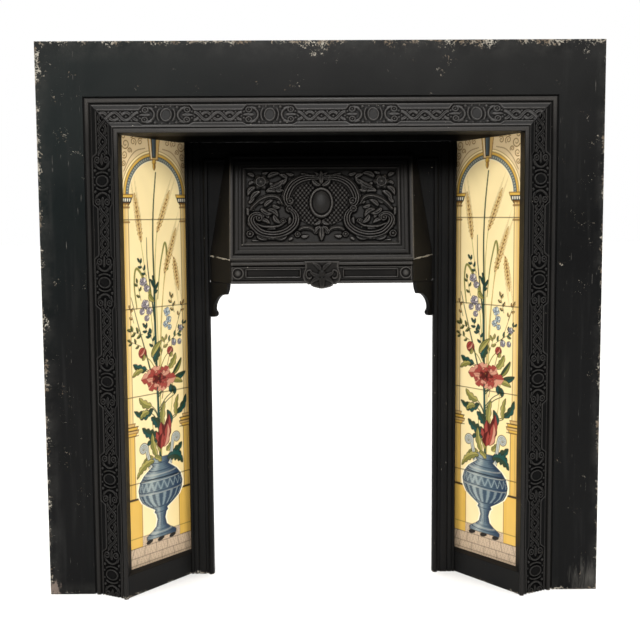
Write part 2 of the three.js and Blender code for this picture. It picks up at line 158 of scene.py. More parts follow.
# a plan outline of x and depth raised between two heights, each a number or one per corner
def uprightPiece(name, outline, low, high, material, node, bevel):
    outline = np.asarray(outline, float)
    rings = [np.column_stack([outline, np.broadcast_to(h, len(outline))]) for h in (low, high)]
    softenEdges(sweptPiece(name, rings, material, node), bevel)


# rounds the sharp edges of a piece by a width in millimetres
def softenEdges(made, width):
    soft = made.modifiers.new("softEdges", "BEVEL")
    soft.width = width / 1000
    soft.segments = 2
    soft.limit_method = "ANGLE"
    soft.angle_limit = math.radians(35)


# points on a circle of inset and rise, between two angles in degrees
def arc(inset, rise, radius, start, end, count):
    turn = np.radians(np.linspace(start, end, count))
    return np.column_stack([inset + radius * np.cos(turn), rise + radius * np.sin(turn)])


# inset and rise carried up one side, over the top and down the other with mitred corners
def archRings(profile, half, top, zScale=1.0):
    inset, rise = np.asarray(profile, float).T
    side = np.array([-1, -1, 1, 1])[:, None]
    up = np.array([0, 1, 1, 0])[:, None]
    x = side * (half - inset)
    z = up * (top - inset * zScale)
    return np.stack([x, np.broadcast_to(-rise, x.shape), z], -1)


# smooth curve through points: a cubic between each pair, its slopes half the way between their neighbours
def curveThrough(points, steps):
    p = np.asarray(points, float)
    p = np.vstack([2 * p[0] - p[1], p, 2 * p[-1] - p[-2]])
    t = np.linspace(0, 1, steps, endpoint=False)[None, :, None]
    a, b, c, d = (p[i:len(p) - 3 + i, None] for i in range(4))
    run = 0.5 * (2 * b + (c - a) * t + (2 * a - 5 * b + 4 * c - d) * t ** 2 + (3 * b - a - 3 * c + d) * t ** 3)
    return np.vstack([run.reshape(-1, p.shape[1]), p[-2]])


# nearest distance to a polyline, how far along it that is and on which side
def alongPath(x, y, path):
    best = np.full(x.shape, 1e9)
    where = np.zeros(x.shape)
    side = np.ones(x.shape)
    total = len(path) - 1
    for i, (a, b) in enumerate(zip(path[:-1], path[1:])):
        dx, dy = b - a
        square = max(dx * dx + dy * dy, 1e-9)
        t = np.clip(((x - a[0]) * dx + (y - a[1]) * dy) / square, 0, 1)
        gapX, gapY = x - a[0] - t * dx, y - a[1] - t * dy
        distance = np.hypot(gapX, gapY)
        near = distance < best
        best = np.where(near, distance, best)
        where = np.where(near, (i + t) / total, where)
        side = np.where(near, np.sign(dx * gapY - dy * gapX), side)
    return best, where, side


# how far a relief lies below the mean of its neighbourhood, by a running mean over rows and columns
def hollowBy(lift, reach):
    mean = lift
    for axis in (0, 1):
        pad = [(reach + 1, reach) if k == axis else (0, 0) for k in (0, 1)]
        total = np.cumsum(np.pad(mean, pad, mode="edge"), axis)
        count = lift.shape[axis]
        upper = np.take(total, np.arange(count) + 2 * reach + 1, axis)
        mean = (upper - np.take(total, np.arange(count), axis)) / (2 * reach + 1)
    return mean - lift


# rounded bump of a given half width, 1 on its crest
def ridge(distance, half):
    return np.sqrt(np.clip(1 - (distance / half) ** 2, 0, 1))


# share of the way up a leaf and distance from its midrib, which bends by a parabola
def leafPlace(x, y, start, end, bend):
    dx, dy = end[0] - start[0], end[1] - start[1]
    length = math.hypot(dx, dy)
    t = ((x - start[0]) * dx + (y - start[1]) * dy) / length ** 2
    return t, ((y - start[1]) * dx - (x - start[0]) * dy) / length - bend * 4 * t * (1 - t)


# leaf on a bent midrib: widest a third of the way up, pointed at the tip, with a vein down the middle
def leafLift(x, y, start, end, bend, half, height):
    t, across = leafPlace(x, y, start, end, bend)
    inside = (t > 0) & (t < 1)
    width = half * np.clip(np.sin(np.pi * np.clip(t, 0, 1) ** 0.75), 0, 1) ** 0.8 + 1e-6
    body = height * ridge(across, width)
    vein = 0.35 * height * np.exp(-(across / 0.7) ** 2)
    return np.where(inside, np.clip(body - vein, 0, None), 0)


# Stove-blacked cast iron: sand-cast grain under a satin black, rubbed grey on high points with painted highlights,
# sooty in the hollows, with painted shade under forms and up in the recess. Sizes are in millimetres, reaches and
# heights in metres.
ironLook = {
    "rubbedAndLit": "#5a554f", "grimeAndShade": "#030303", "chip": "#8f897f", "bare": "#958f83", "rust": "#64584a",
    "dust": "#3a3936", "streak": "#2b2b2a", "sootAndShade": "#020202", "rearRust": "#3b2a1f", "pink": "#75685f",
    "scuff": "#5f5c57", "scratch": "#5d5a55", "dusk": "#090808", "blotch": "#232322",
    "grainMm": 1.6, "patchMm": 130, "speckMm": 15, "driftMm": 60, "chipMm": 3.0, "crumbMm": 3.4,
    "stretchMm": 34, "hueMm": 18, "rustMm": 35, "toneAt": (0.38, 0.64), "hueAt": (0.4, 0.56),
    "fleckSize": (0.54, 0.76, 0.0, 0.1), "crumbLevel": 0.49, "flakeReach": 0.009, "flakeLevel": 1.0,
    "flakeRise": 0.34,
    "sootAndShadeHeight": (0.713, 0.75), "sootAndShadeDepth": (-0.052, -0.02), "sootAndShadeShine": 0.08, "grimeAndShadeShine": 0.3,
    "shine": 0.09, "glint": 0.45, "rearTurn": (0.25, 0.6), "rustShare": (0.42, 0.66),
    "roughness": (0.3, 0.7, 0.36, 0.56), "grimeAndShadeRoughness": 0.4,
    "swell": {"Strength": 0.3, "Distance": 0.0016}, "grainBump": {"Strength": 0.4, "Distance": 0.0003},
}
ironTones = {"plate": ("#0a1313", "#131a19"), "frame": ("#0c0c0c", "#141312"), "hood": ("#100f0e", "#181614")}


# two tones in drifts, then coats laid over by their shares: rubbed crests with painted highlights, grime with painted
# shade, flecks, soot with painted shade, chips and rust; shine grows with the rubbing and falls with soot and grime
def makeIron(name, tones, edgeWear=False, seam=False):
    look = ironLook
    material = bpy.data.materials.new(name)
    material.use_nodes = True
    tree = material.node_tree
    shader = tree.nodes["Principled BSDF"]
    add = partial(addNode, tree)
    here = {"Vector": (add("TexCoord"), "Object")}
    grain = add("TexNoise", noise(look["grainMm"], 3.0), here)
    patch = add("TexNoise", noise(look["patchMm"], 5.0, 0.6), here)
    tone = add("ValToRGB", None, {"Fac": patch})
    for element, at, colour in zip(tone.color_ramp.elements, look["toneAt"], tones):
        element.position = at
        element.color = rgba(colour)
    # the rubbed share carries wear and painted highlights, the grime share grime and painted shade
    worn = (add("Attribute", attribute_name="rubbedAndLit"), "Fac")
    grimeAndShadeShare = (add("Attribute", attribute_name="grimeAndShade"), "Fac")
    # small flecks of lost paint, a few millimetres across and far apart
    speck = add("TexVoronoi", {"Scale": 1000 / look["speckMm"]}, here)
    patchy = add("TexNoise", noise(look["driftMm"]), here)
    size = add("MapRange", span(*look["fleckSize"]), {"Value": patchy})
    fleck = add("Math", None, {0: speck, 1: size}, operation="LESS_THAN")
    # soot and painted shade up in the recess, where neither brush nor light reaches: deep black without shine
    split = add("SeparateXYZ", None, here)
    high, deep = (add("MapRange", span(*look[key]), {"Value": (split, axis)}, interpolation_type="SMOOTHSTEP")
                  for key, axis in (("sootAndShadeHeight", "Z"), ("sootAndShadeDepth", "Y")))
    sootAndShade = add("Math", None, {0: high, 1: deep}, operation="MULTIPLY")
    share = add("Math", None, {0: worn, 1: grain}, operation="MULTIPLY")
    finish = tone
    for cover, colour in ((share, "rubbedAndLit"), (grimeAndShadeShare, "grimeAndShade"), (fleck, "chip"), (sootAndShade, "sootAndShade")):
        finish = add("Mix", {7: rgba(look[colour])}, {0: cover, 6: finish}, data_type="RGBA")
    glint = add("Math", {1: look["glint"], 2: look["shine"]}, {0: worn}, operation="MULTIPLY_ADD")
    for cover, least in ((sootAndShade, "sootAndShadeShine"), (grimeAndShadeShare, "grimeAndShadeShine")):
        clear = add("MapRange", span(0.0, 1.0, 1.0, look[least]), {"Value": cover})
        glint = add("Math", None, {0: glint, 1: clear}, operation="MULTIPLY")
    tree.links.new(outputOf(glint), shader.inputs["Specular IOR Level"])
    if edgeWear:
        finish = addEdgeChips(tree, here, finish)
    else:
        finish = addFlakes(tree, here, finish, (split, "Z"), look["flakeReach"], look["flakeLevel"])
    # rust blooms on faces turned to the wall
    turned = add("SeparateXYZ", None, {"Vector": (add("NewGeometry"), "Normal")})
    rear = add("MapRange", span(*look["rearTurn"]), {"Value": (turned, "Y")})
    blotch = add("TexNoise", noise(look["rustMm"], 8.0, 0.7), here)
    rusty = add("MapRange", span(*look["rustShare"]), {"Value": blotch})
    rusty = add("Math", None, {0: rear, 1: rusty}, operation="MULTIPLY")
    finish = add("Mix", {7: rgba(look["rearRust"])}, {0: rusty, 6: finish}, data_type="RGBA")
    if seam:
        finish = addSeamChips(tree, here, finish)
    tree.links.new(outputOf(finish), shader.inputs["Base Color"])
    gloss = add("MapRange", span(*look["roughness"]), {"Value": patch})
    matt = add("Math", {1: look["grimeAndShadeRoughness"]}, {0: grimeAndShadeShare, 2: gloss}, operation="MULTIPLY_ADD")
    tree.links.new(outputOf(matt), shader.inputs["Roughness"])
    swell = add("Bump", look["swell"], {"Height": patch})
    bump = add("Bump", look["grainBump"], {"Height": grain, "Normal": swell})
    tree.links.new(outputOf(bump), shader.inputs["Normal"])
    return material


seamLook = {"joint": (0.162, 0.1997, 0.5782, 0.5842), "raggedMm": 9, "width": (0.36, 0.6, 0.0, 0.0017),
            "beside": 0.1605, "turn": 0.1}


# pale broken line where the hood's sides meet the rail: bare where the height above the joint, which climbs
# 6 mm from the front to the wall, is under a limit drawn from noise, on faces that look forward
def addSeamChips(tree, here, under):
    look = seamLook
    add = partial(addNode, tree)
    split = add("SeparateXYZ", None, here)
    out = add("Math", None, {0: (split, "X")}, operation="ABSOLUTE")
    joint = add("MapRange", span(*look["joint"]), {"Value": out})
    gapZ = add("Math", None, {0: (split, "Z"), 1: joint}, operation="SUBTRACT")
    gapZ = add("Math", None, {0: gapZ}, operation="ABSOLUTE")
    ragged = add("TexNoise", noise(look["raggedMm"], 4.0), here)
    limit = add("MapRange", span(*look["width"]), {"Value": ragged})
    bare = add("Math", None, {0: gapZ, 1: limit}, operation="LESS_THAN")
    turned = add("SeparateXYZ", None, {"Vector": (add("NewGeometry"), "True Normal")})
    beside = add("Math", {1: look["beside"]}, {0: out}, operation="GREATER_THAN")
    front = add("Math", {1: look["turn"]}, {0: (turned, "Y")}, operation="LESS_THAN")
    for mask in (beside, front):
        bare = add("Math", None, {0: bare, 1: mask}, operation="MULTIPLY")
    return add("Mix", {7: rgba(ironLook["bare"])}, {0: bare, 6: under}, data_type="RGBA")


# flakes of lost blacking: noise above a level that rises with the distance from an edge, broken up by crumbs
def addFlakes(tree, here, under, distance, reach, low):
    look = ironLook
    add = partial(addNode, tree)
    ragged = add("TexNoise", noise(look["chipMm"], 6.0, 0.7), here)
    stretch = add("TexNoise", noise(look["stretchMm"], 4.0, 0.6), here)
    level = add("MapRange", span(0.0, reach, low, low + look["flakeRise"]), {"Value": distance})
    level = add("Math", None, {0: level, 1: stretch}, operation="SUBTRACT")
    bare = add("Math", None, {0: ragged, 1: level}, operation="GREATER_THAN")
    crumb = add("TexNoise", noise(look["crumbMm"]), here)
    crumb = add("Math", {1: look["crumbLevel"]}, {0: crumb}, operation="GREATER_THAN")
    bare = add("Math", None, {0: bare, 1: crumb}, operation="MULTIPLY")
    shade = add("ValToRGB", None, {"Fac": add("TexNoise", noise(look["hueMm"], 3.0), here)})
    for element, at, colour in zip(shade.color_ramp.elements, look["hueAt"], ("rust", "bare")):
        element.position = at
        element.color = rgba(look[colour])
    return add("Mix", None, {0: bare, 6: under, 7: shade}, data_type="RGBA")


# wear of the plate: ranges are those of a place in metres or of a noise, with the shares they give
plateLook = {
    "lean": (-0.4, 0.4, 0.85, 1.35), "topWear": 0.62, "leastEdge": 0.0009, "fadeSlope": -0.8,
    "dusk": (-1.15, -0.75, 0.0, 0.9), "blotchMm": 160, "blotch": (0.66, 0.93, 0.0, 1.1), "sides": (0.38, 0.42),
    "brushes": (((11, 40, 190), (0.52, 0.78, 0.0, 0.34), "streak"),
                ((1.6, 30, 26), (0.715, 0.75, 0.0, 0.85), "scratch")),
    "hazeMm": 45, "hazeReach": (0.0, 0.024, 0.6, 0.0), "haze": (0.42, 0.7),
    "flakes": ((0.013, 0.985), (0.0045, 0.92)), "spotMm": 8, "rubMm": 7, "rubStretch": (1.0, 1.0, 0.14),
    "pinkCorner": ((-0.472, -0.0494, 0.012), (0.0, 0.026, 0.3, -0.3), (0.5, 0.62, 0.0, 0.9)),
    "greyCorner": ((0.466, -0.0494, 0.02), (0.0, 0.07, 0.3, -0.3), (0.5, 1.0, 0.0, 0.75)),
}


# the plate: darker low down at the right, a lighter grey in drifts rising towards the top, brushed streaks and
# scratches up the sides, a dusty margin, flakes along the edge by the least distance to it, and two scuffed corners
def addEdgeChips(tree, here, under):
    look = plateLook
    add = partial(addNode, tree)
    split = add("SeparateXYZ", None, here)
    out = add("Math", None, {0: (split, "X")}, operation="ABSOLUTE")
    sideGap = add("Math", {0: plate["half"] / 1000}, {1: out}, operation="SUBTRACT")
    # the right edge is worn least and the top edge most
    lean = add("MapRange", span(*look["lean"]), {"Value": (split, "X")})
    sideGap = add("Math", None, {0: sideGap, 1: lean}, operation="MULTIPLY")
    topGap = add("Math", {0: plate["top"] / 1000}, {1: (split, "Z")}, operation="SUBTRACT")
    topGap = add("Math", {1: look["topWear"]}, {0: topGap}, operation="MULTIPLY")
    edge = add("Math", None, {0: sideGap, 1: topGap}, operation="MINIMUM")
    edge = add("Math", None, {0: edge, 1: (split, "Z")}, operation="MINIMUM")
    edge = add("Math", {1: look["leastEdge"]}, {0: edge}, operation="MAXIMUM")
    fade = add("Math", {1: look["fadeSlope"]}, {0: (split, "Z"), 2: (split, "X")}, operation="MULTIPLY_ADD")
    dusk = add("MapRange", span(*look["dusk"]), {"Value": fade})
    drift = add("TexNoise", noise(look["blotchMm"], 3.0), here)
    rise = add("MapRange", span(*look["blotch"]), {"Value": (split, "Z")})
    coats = [(dusk, "dusk"), (add("Math", None, {0: rise, 1: drift}, operation="MULTIPLY"), "blotch")]
    upSides = add("MapRange", span(*look["sides"]), {"Value": out})
    for size, shares, colour in look["brushes"]:
        brushed = add("Mapping", {"Scale": tuple(1000 / s for s in size)}, here)
        streak = add("TexNoise", {"Scale": 1.0, "Detail": 4.0}, {"Vector": brushed})
        share = add("MapRange", span(*shares), {"Value": streak})
        coats.append((add("Math", None, {0: share, 1: upSides}, operation="MULTIPLY"), colour))
    hazy = add("MapRange", span(*look["hazeReach"]), {"Value": edge})
    haze = add("MapRange", span(*look["haze"]), {"Value": add("TexNoise", noise(look["hazeMm"], 6.0, 0.7), here)})
    coats.append((add("Math", None, {0: haze, 1: hazy}, operation="MULTIPLY"), "dust"))
    base = under
    for cover, colour in coats:
        base = add("Mix", {7: rgba(ironLook[colour])}, {0: cover, 6: base}, data_type="RGBA")
    for reach, low in look["flakes"]:
        base = addFlakes(tree, here, base, edge, reach, low)
    # two lower corners scuffed through: dull pink primer at the left, a grey rub at the right
    spotty = add("TexNoise", noise(look["spotMm"], 6.0, 0.7), here)
    upright = add("Mapping", {"Scale": look["rubStretch"]}, here)
    brushed = add("TexNoise", noise(look["rubMm"], 6.0, 0.7), {"Vector": upright})
    for key, colour, grain in (("pinkCorner", "pink", spotty), ("greyCorner", "scuff", brushed)):
        corner, reach, shares = look[key]
        far = add("VectorMath", {1: corner}, here, operation="DISTANCE")
        near = add("MapRange", span(*reach), {"Value": far})
        near = add("Math", None, {0: near, 1: grain}, operation="ADD")
        bared = add("MapRange", span(*shares), {"Value": near})
        base = add("Mix", {7: rgba(ironLook[colour])}, {0: bared, 6: base}, data_type="RGBA")
    return base


# Outer plate: a flat margin, wider over the top than at the sides
plate = {"half": 477, "top": 946, "sideWidth": 78, "topWidth": 91, "thick": 8, "edge": 1.4}
blackIron = makeIron("stoveBlackCastIron", ironTones["frame"])
plateIron = makeIron("chippedPlateIron", ironTones["plate"], True)
hoodIron = makeIron("warmBlackHoodIron", ironTones["hood"], False, True)
print("iron made")

plateProfile = np.vstack([
    [[0, -plate["thick"]]],
    arc(plate["edge"], -plate["edge"], plate["edge"], 180, 90, 5),
    [[plate["sideWidth"], 0], [plate["sideWidth"], -plate["thick"]]],
])
sweptPiece("outerPlate",
           archRings(plateProfile, plate["half"], plate["top"], plate["topWidth"] / plate["sideWidth"]),
           plateIron, "surround_frame")

# Moulded frame: bead, sloping frieze band and arris bead carried round with mitred corners
moulding = {"half": 399, "top": 855, "bandStart": (13.0, 2.8), "bandEnd": (53.2, 24.4), "floor": 2.1,
            "cornerAt": 0.93, "sideRubAndShade": 0.12, "topRubAndLight": 0.42}
mouldingProfile = np.vstack([
    [[-4, -8], [-4, -3.6], [2.3, -3.6], [2.6, -1.4]],
    arc(7, 0, 4.0, 186, -6, 13),
    [[11.6, -0.7], [12.5, -0.5], [12.9, 1.0], [14.2, -0.6], [51.8, 19.8]],
    [[53.2, 24.4], [53.9, 23.2], [54.7, 23.4]],
    arc(58.6, 27.3, 3.9, 190, -32, 13),
    [[62.3, 22.0], [63.3, 2], [55.4, 2], [55, 16.5], [47, 11.5], [14, -6.2], [10.5, -8]],
])
crown = np.maximum(ease(0.5, 3.8, mouldingProfile[:, 1]) * (mouldingProfile[:, 0] < 12),
                   ease(28, 31, mouldingProfile[:, 1]))
# the bead crests are rubbed and carry a painted highlight, brighter on the top run, as if lit from above, than on the
# sides, which darken within a hand of each corner
foot, left, right, end = archRings(mouldingProfile, moulding["half"], moulding["top"])
mouldingRings = [foot, foot + moulding["cornerAt"] * (left - foot), left, right,
                 end + moulding["cornerAt"] * (right - end), end]
ringRubAndLight = [moulding["sideRubAndShade"]] * 2 + [moulding["topRubAndLight"]] * 2 + [moulding["sideRubAndShade"]] * 2
sweptPiece("mouldedFrame", mouldingRings, blackIron, "surround_frame", values={"rubbedAndLit": np.outer(ringRubAndLight, crown)})

# Frieze: crossing straps between oval cartouches on a sunk field. Pellets are listed by their distance from
# the oval, their distance from the middle of the band, size and height.
frieze = {
    "strapPitch": 19.6, "strapReach": 7.4, "strapHalf": 3.0, "strapMid": 23.8, "fieldHalf": 11.2,
    "wideMid": 21.0, "wideHalf": 19.2, "wideFrom": 37, "wideTo": 47, "step": 0.9,
    "ovalsAcross": (-258.7, -86.2, 86.2, 258.7), "ovalsUp": (38, 207, 376, 545, 715),
    "pellets": ((17.6, 15.2, 2.8, 2.6), (43, 6.4, 2.2, 2.2), (6.5, 16.6, 1.9, 1.8), (35, 9.6, 2.3, 2.6)),
    "curl": (35, 9.6, 4.6, 1.5, 2.7), "legEnd": 33, "sunkEdge": -3.2,
}


# section of a strap by the distance from its middle: a flat band with eased edges and a groove down it
def strapBand(d):
    half = frieze["strapHalf"]
    return 2.5 * (1 - ease(half - 1.0, half, d)) - 0.8 * np.exp(-(d / 0.75) ** 2)


# relief over the band: along is the distance from the nearest oval, w runs across the slope
def friezeLift(along, w, gapHalf):
    f = frieze
    widen = 1 - ease(f["wideFrom"], f["wideTo"], along)
    half = f["fieldHalf"] + (f["wideHalf"] - f["fieldHalf"]) * widen
    mid = f["strapMid"] + (f["wideMid"] - f["strapMid"]) * widen
    out = np.abs(w - mid) - half
    sunk = -moulding["floor"] * (1 - ease(-0.9, 0.1, out))
    lift = sunk + 0.7 * ridge(out - 1.8, 1.2)
    c = w - f["strapMid"]
    # braid: two waves crossing once a pitch, one passing over the other in turn
    cell = (along - gapHalf) / f["strapPitch"]
    number = np.floor(cell)
    phase = cell - number - 0.5
    slope = f["strapReach"] * np.pi / f["strapPitch"] * np.cos(np.pi * phase)
    slant = 1 / np.hypot(1, slope)
    one = np.abs(c - f["strapReach"] * np.sin(np.pi * phase)) * slant
    two = np.abs(c + f["strapReach"] * np.sin(np.pi * phase)) * slant
    even = (number % 2) < 0.5
    over = np.where(even, one, two)
    under = np.where(even, two, one)
    passing = ease(f["strapHalf"] + 0.1, f["strapHalf"] + 1.0, over)
    top = np.hypot(phase * f["strapPitch"], np.abs(c) - 8.0)
    middle = np.hypot((np.abs(phase) - 0.5) * f["strapPitch"], c)
    straps = highest(strapBand(over), strapBand(under) * passing, 2.3 * ridge(top, 2.5), 1.8 * ridge(middle, 2.1))
    inStraps = (along > gapHalf - 2 * f["strapPitch"] - 1) & (out < 0)
    lift = np.where(inStraps, np.maximum(lift, sunk + straps), lift)
    # cartouche: flat oval in a thin ring, a bar curved round each end, then a scroll with pellets and a leaf
    wc = w - f["wideMid"]
    q = np.hypot(along / 9.6, wc / 13.0)
    parts = [
        2.7 * ridge(q - 0.9, 0.13), 1.1 * (q < 0.8),
        2.6 * ridge(np.hypot(along / 14.6, wc / 19) - 1, 0.1) * (np.abs(wc) < 12.5),
        2.6 * ridge(np.hypot(along - 33, wc) - 13.5, 2.0) * (along < 29),
        leafLift(along, wc, (26, 0), (46, 0), 0, 3.4, 2.6),
    ]
    for side in (-1, 1):
        at, up, radius, thick, height = f["curl"]
        parts.append(height * ridge(np.hypot(along - at, side * wc - up) - radius, thick))
        parts.append(leafLift(along, side * wc, (22, 12), (33, 17.4), -1.6, 3.0, 2.6))
        parts += [height * ridge(np.hypot(along - at, side * wc - up), size) for at, up, size, height in f["pellets"]]
    return np.where(along < f["wideTo"], np.maximum(lift, sunk + highest(*parts)), lift)


# one leg of the frieze as a grid; the columns lean at the ends to meet on the mitre
def friezeLeg(name, leg):
    f, m = frieze, moulding
    rise = m["bandEnd"][1] - m["bandStart"][1]
    run = m["bandEnd"][0] - m["bandStart"][0]
    tilt = math.atan2(rise, run)
    wide = math.hypot(rise, run)
    w = np.linspace(0, wide, int(wide / f["step"]) + 1)
    centres = np.array(f["ovalsAcross"] if leg == 0 else f["ovalsUp"])
    gapHalf = (centres[1] - centres[0]) / 2
    length = 2 * (m["half"] - f["legEnd"]) if leg == 0 else m["top"] - f["legEnd"]
    t = np.linspace(-1 if leg == 0 else 0, 1, int(length / f["step"]) + 1)
    tt, ww = np.meshgrid(t, w)
    reach = (m["half"] if leg == 0 else m["top"]) - m["bandStart"][0] - ww * math.cos(tilt)
    s = tt * reach
    along = np.abs(s[..., None] - centres).min(-1)
    lift = friezeLift(along, ww, gapHalf)
    lift = lift * ease(0.6, 2.2, reach - np.abs(s))  # flat at the mitre
    lift[[0, -1]] = f["sunkEdge"]
    inset = m["bandStart"][0] + ww * math.cos(tilt) - lift * math.sin(tilt)
    forward = m["bandStart"][1] + ww * math.sin(tilt) + lift * math.cos(tilt)
    hollow = hollowBy(lift, 4)
    if leg == 0:
        points = np.stack([tt * (m["half"] - inset), -forward, m["top"] - inset], -1)
        # the top: crests rubbed, with painted highlights, and grime in the hollows
        rubbedAndLit = 0.08 + 0.42 * ease(0.1, 1.0, -hollow)
        grimeAndShade = 0.62 * ease(0.2, 1.1, hollow)
    else:
        # the sides carry painted shade: rubbed on their crests alone and darker all over than the top, with more soot
        points = np.stack([leg * (m["half"] - inset), -forward, tt * (m["top"] - inset)], -1)
        crest = ease(0.1, 0.5, -hollowBy(lift, 2))
        rubbedAndLit = 0.26 * crest
        grimeAndShade = (0.52 + 0.4 * ease(0.1, 0.9, hollow)) * (1 - 0.8 * crest)
    makePiece(name, points, gridQuads(*tt.shape), blackIron, "surround_frame", facing=(0, -1, 0), sharp=0,
              values={"rubbedAndLit": rubbedAndLit, "grimeAndShade": grimeAndShade})


for name, leg in (("friezeTop", 0), ("friezeLeft", -1), ("friezeRight", 1)):
    friezeLeg(name, leg)
print("plate and frieze made")

# Soffit, jamb lips and bottom rails of the outer casting
cheek = {
    "start": (335.7, 3.6), "splay": 52.2, "gap": 0.3, "front": -2, "soffit": 791.7, "slope": 0.06, "thick": 7.9,
    "soffitReach": 136.9, "tileReach": 150.6, "lap": -2.2, "lip": -8.5, "behind": 12, "lipEdge": 343.6,
    "rail": ((337, -24), (241.5, 104.3), (248.4, 108), (343, -20)), "railTop": 41.2, "railDrop": 2.2,
    "shelfFront": ((337, -24), (242.1, 104.1)), "shelfSide": (341, -6), "shelfRise": (-2.4, -2.4, 0.4, 0.4, 0.4),
    "shelfLow": 30, "ledgeTop": 37.2, "ledgeStart": -5, "ledgeGap": 1.3,
}


# plan point on the right cheek: distance in from the jamb and distance behind the tile face
def cheekPoint(along, behind):
    turn = math.radians(cheek["splay"])
    return (cheek["start"][0] - along * math.cos(turn) + behind * math.sin(turn),
            cheek["start"][1] + along * math.sin(turn) + behind * math.cos(turn))


# a plan of the right side, or for the left its mirror image, taken backwards
def onSide(plan, side):
    return plan if side > 0 else [(-x, y) for x, y in plan[::-1]]


gap, reach, lap, behind = (cheek[key] for key in ("gap", "tileReach", "lap", "behind"))
jamb = (cheek["start"][0], cheek["front"])
soffitHalf = [jamb, cheekPoint(0, -gap), cheekPoint(cheek["soffitReach"], -gap)]
soffitPlan = soffitHalf + onSide(soffitHalf, -1)
soffitLow = np.array([cheek["soffit"] - cheek["slope"] * (y - cheek["front"]) for _, y in soffitPlan])
uprightPiece("soffit", soffitPlan, soffitLow, soffitLow + cheek["thick"], blackIron, "surround_frame", 0.4)
jambPlan = [jamb, cheekPoint(0, -gap), cheekPoint(lap, -gap), cheekPoint(lap, behind),
            cheekPoint(cheek["lip"], behind), (cheek["lipEdge"], cheek["front"])]
shelfPlan = [*cheek["shelfFront"], cheekPoint(reach, -gap), cheekPoint(lap, -gap), cheek["shelfSide"]]
ledgePlan = [cheekPoint(along, depth) for along, depth in (
    (cheek["ledgeStart"], -cheek["ledgeGap"]), (reach, -cheek["ledgeGap"]), (reach, behind),
    (cheek["ledgeStart"], behind))]
shelfTop = cheek["railTop"] + np.array(cheek["shelfRise"])
for word, side in bothSides:
    for name, plan, low, high, bevel in (
            ("jambLip", jambPlan, 0, cheek["soffit"] + cheek["thick"], 0.3),
            ("bottomRail", cheek["rail"], 0, cheek["railTop"] - cheek["railDrop"], 0.9),
            ("tileShelf", shelfPlan, cheek["shelfLow"], shelfTop[::side], 0.5),
            ("tileLedge", ledgePlan, cheek["shelfLow"], cheek["ledgeTop"], 0.3)):
        uprightPiece(name + word, onSide(plan, side), low, high, blackIron, "surround_frame", bevel)
print("soffit and rails made")

# Inner arch: plate, reeded stiles, roll moulding and corner brackets
arch = {
    "front": 104.4, "back": 111.7, "half": 241.8, "top": 784.6, "opening": 200, "lintel": 541,
    "throat": ((186, 541), (158, 738)), "rollOuter": 210, "rollTop": 757, "rollEnd": 171.5,
    "flange": ((234.8, 110.7), (243.0, 110.7), (243.0, 128), (234.8, 128)),
    "bracketRun": (40, 50.4), "bracketThick": 7,
}
archHalf = [(arch["half"], arch["top"]), (arch["half"], 0), (arch["opening"], 0), (arch["opening"], arch["lintel"]),
            *arch["throat"]]


# an elevation outline of x and z carried straight from a front to a back depth
def platePiece(name, outline, front, back, material, node, bevel):
    flat = np.asarray(outline, float)
    rings = [np.column_stack([flat[:, 0], np.full(len(flat), d), flat[:, 1]]) for d in (front, back)]
    softenEdges(sweptPiece(name, rings, material, node), bevel)


platePiece("archPlate", archHalf + onSide(archHalf, -1), arch["front"], arch["back"], blackIron, "inner_arch", 0.6)
# reeds across the stile, listed as x and rise: edge bead, fillet, two flat reeds and the groove by the roll
reedProfile = np.vstack([
    [[241.8, -1], [241.8, 0.4]], arc(239.6, 0.5, 2.2, 0, 180, 7), [[237.0, -0.4], [235.9, -0.4]],
    arc(234.6, 1.2, 1.3, 0, 90, 4), arc(229.6, 1.2, 1.3, 90, 180, 4), [[228.2, -0.4], [227.4, -0.4]],
    arc(226.0, 1.2, 1.3, 0, 90, 4), arc(216.0, 1.2, 1.3, 90, 180, 4), [[214.6, -0.4], [213.4, -0.4], [213.4, -1]],
])
rollProfile = np.vstack([[[0, -1], [0, 0]], arc(4.5, 1.4, 4.5, 180, 0, 13), [[9, 0], [9, -1]]])
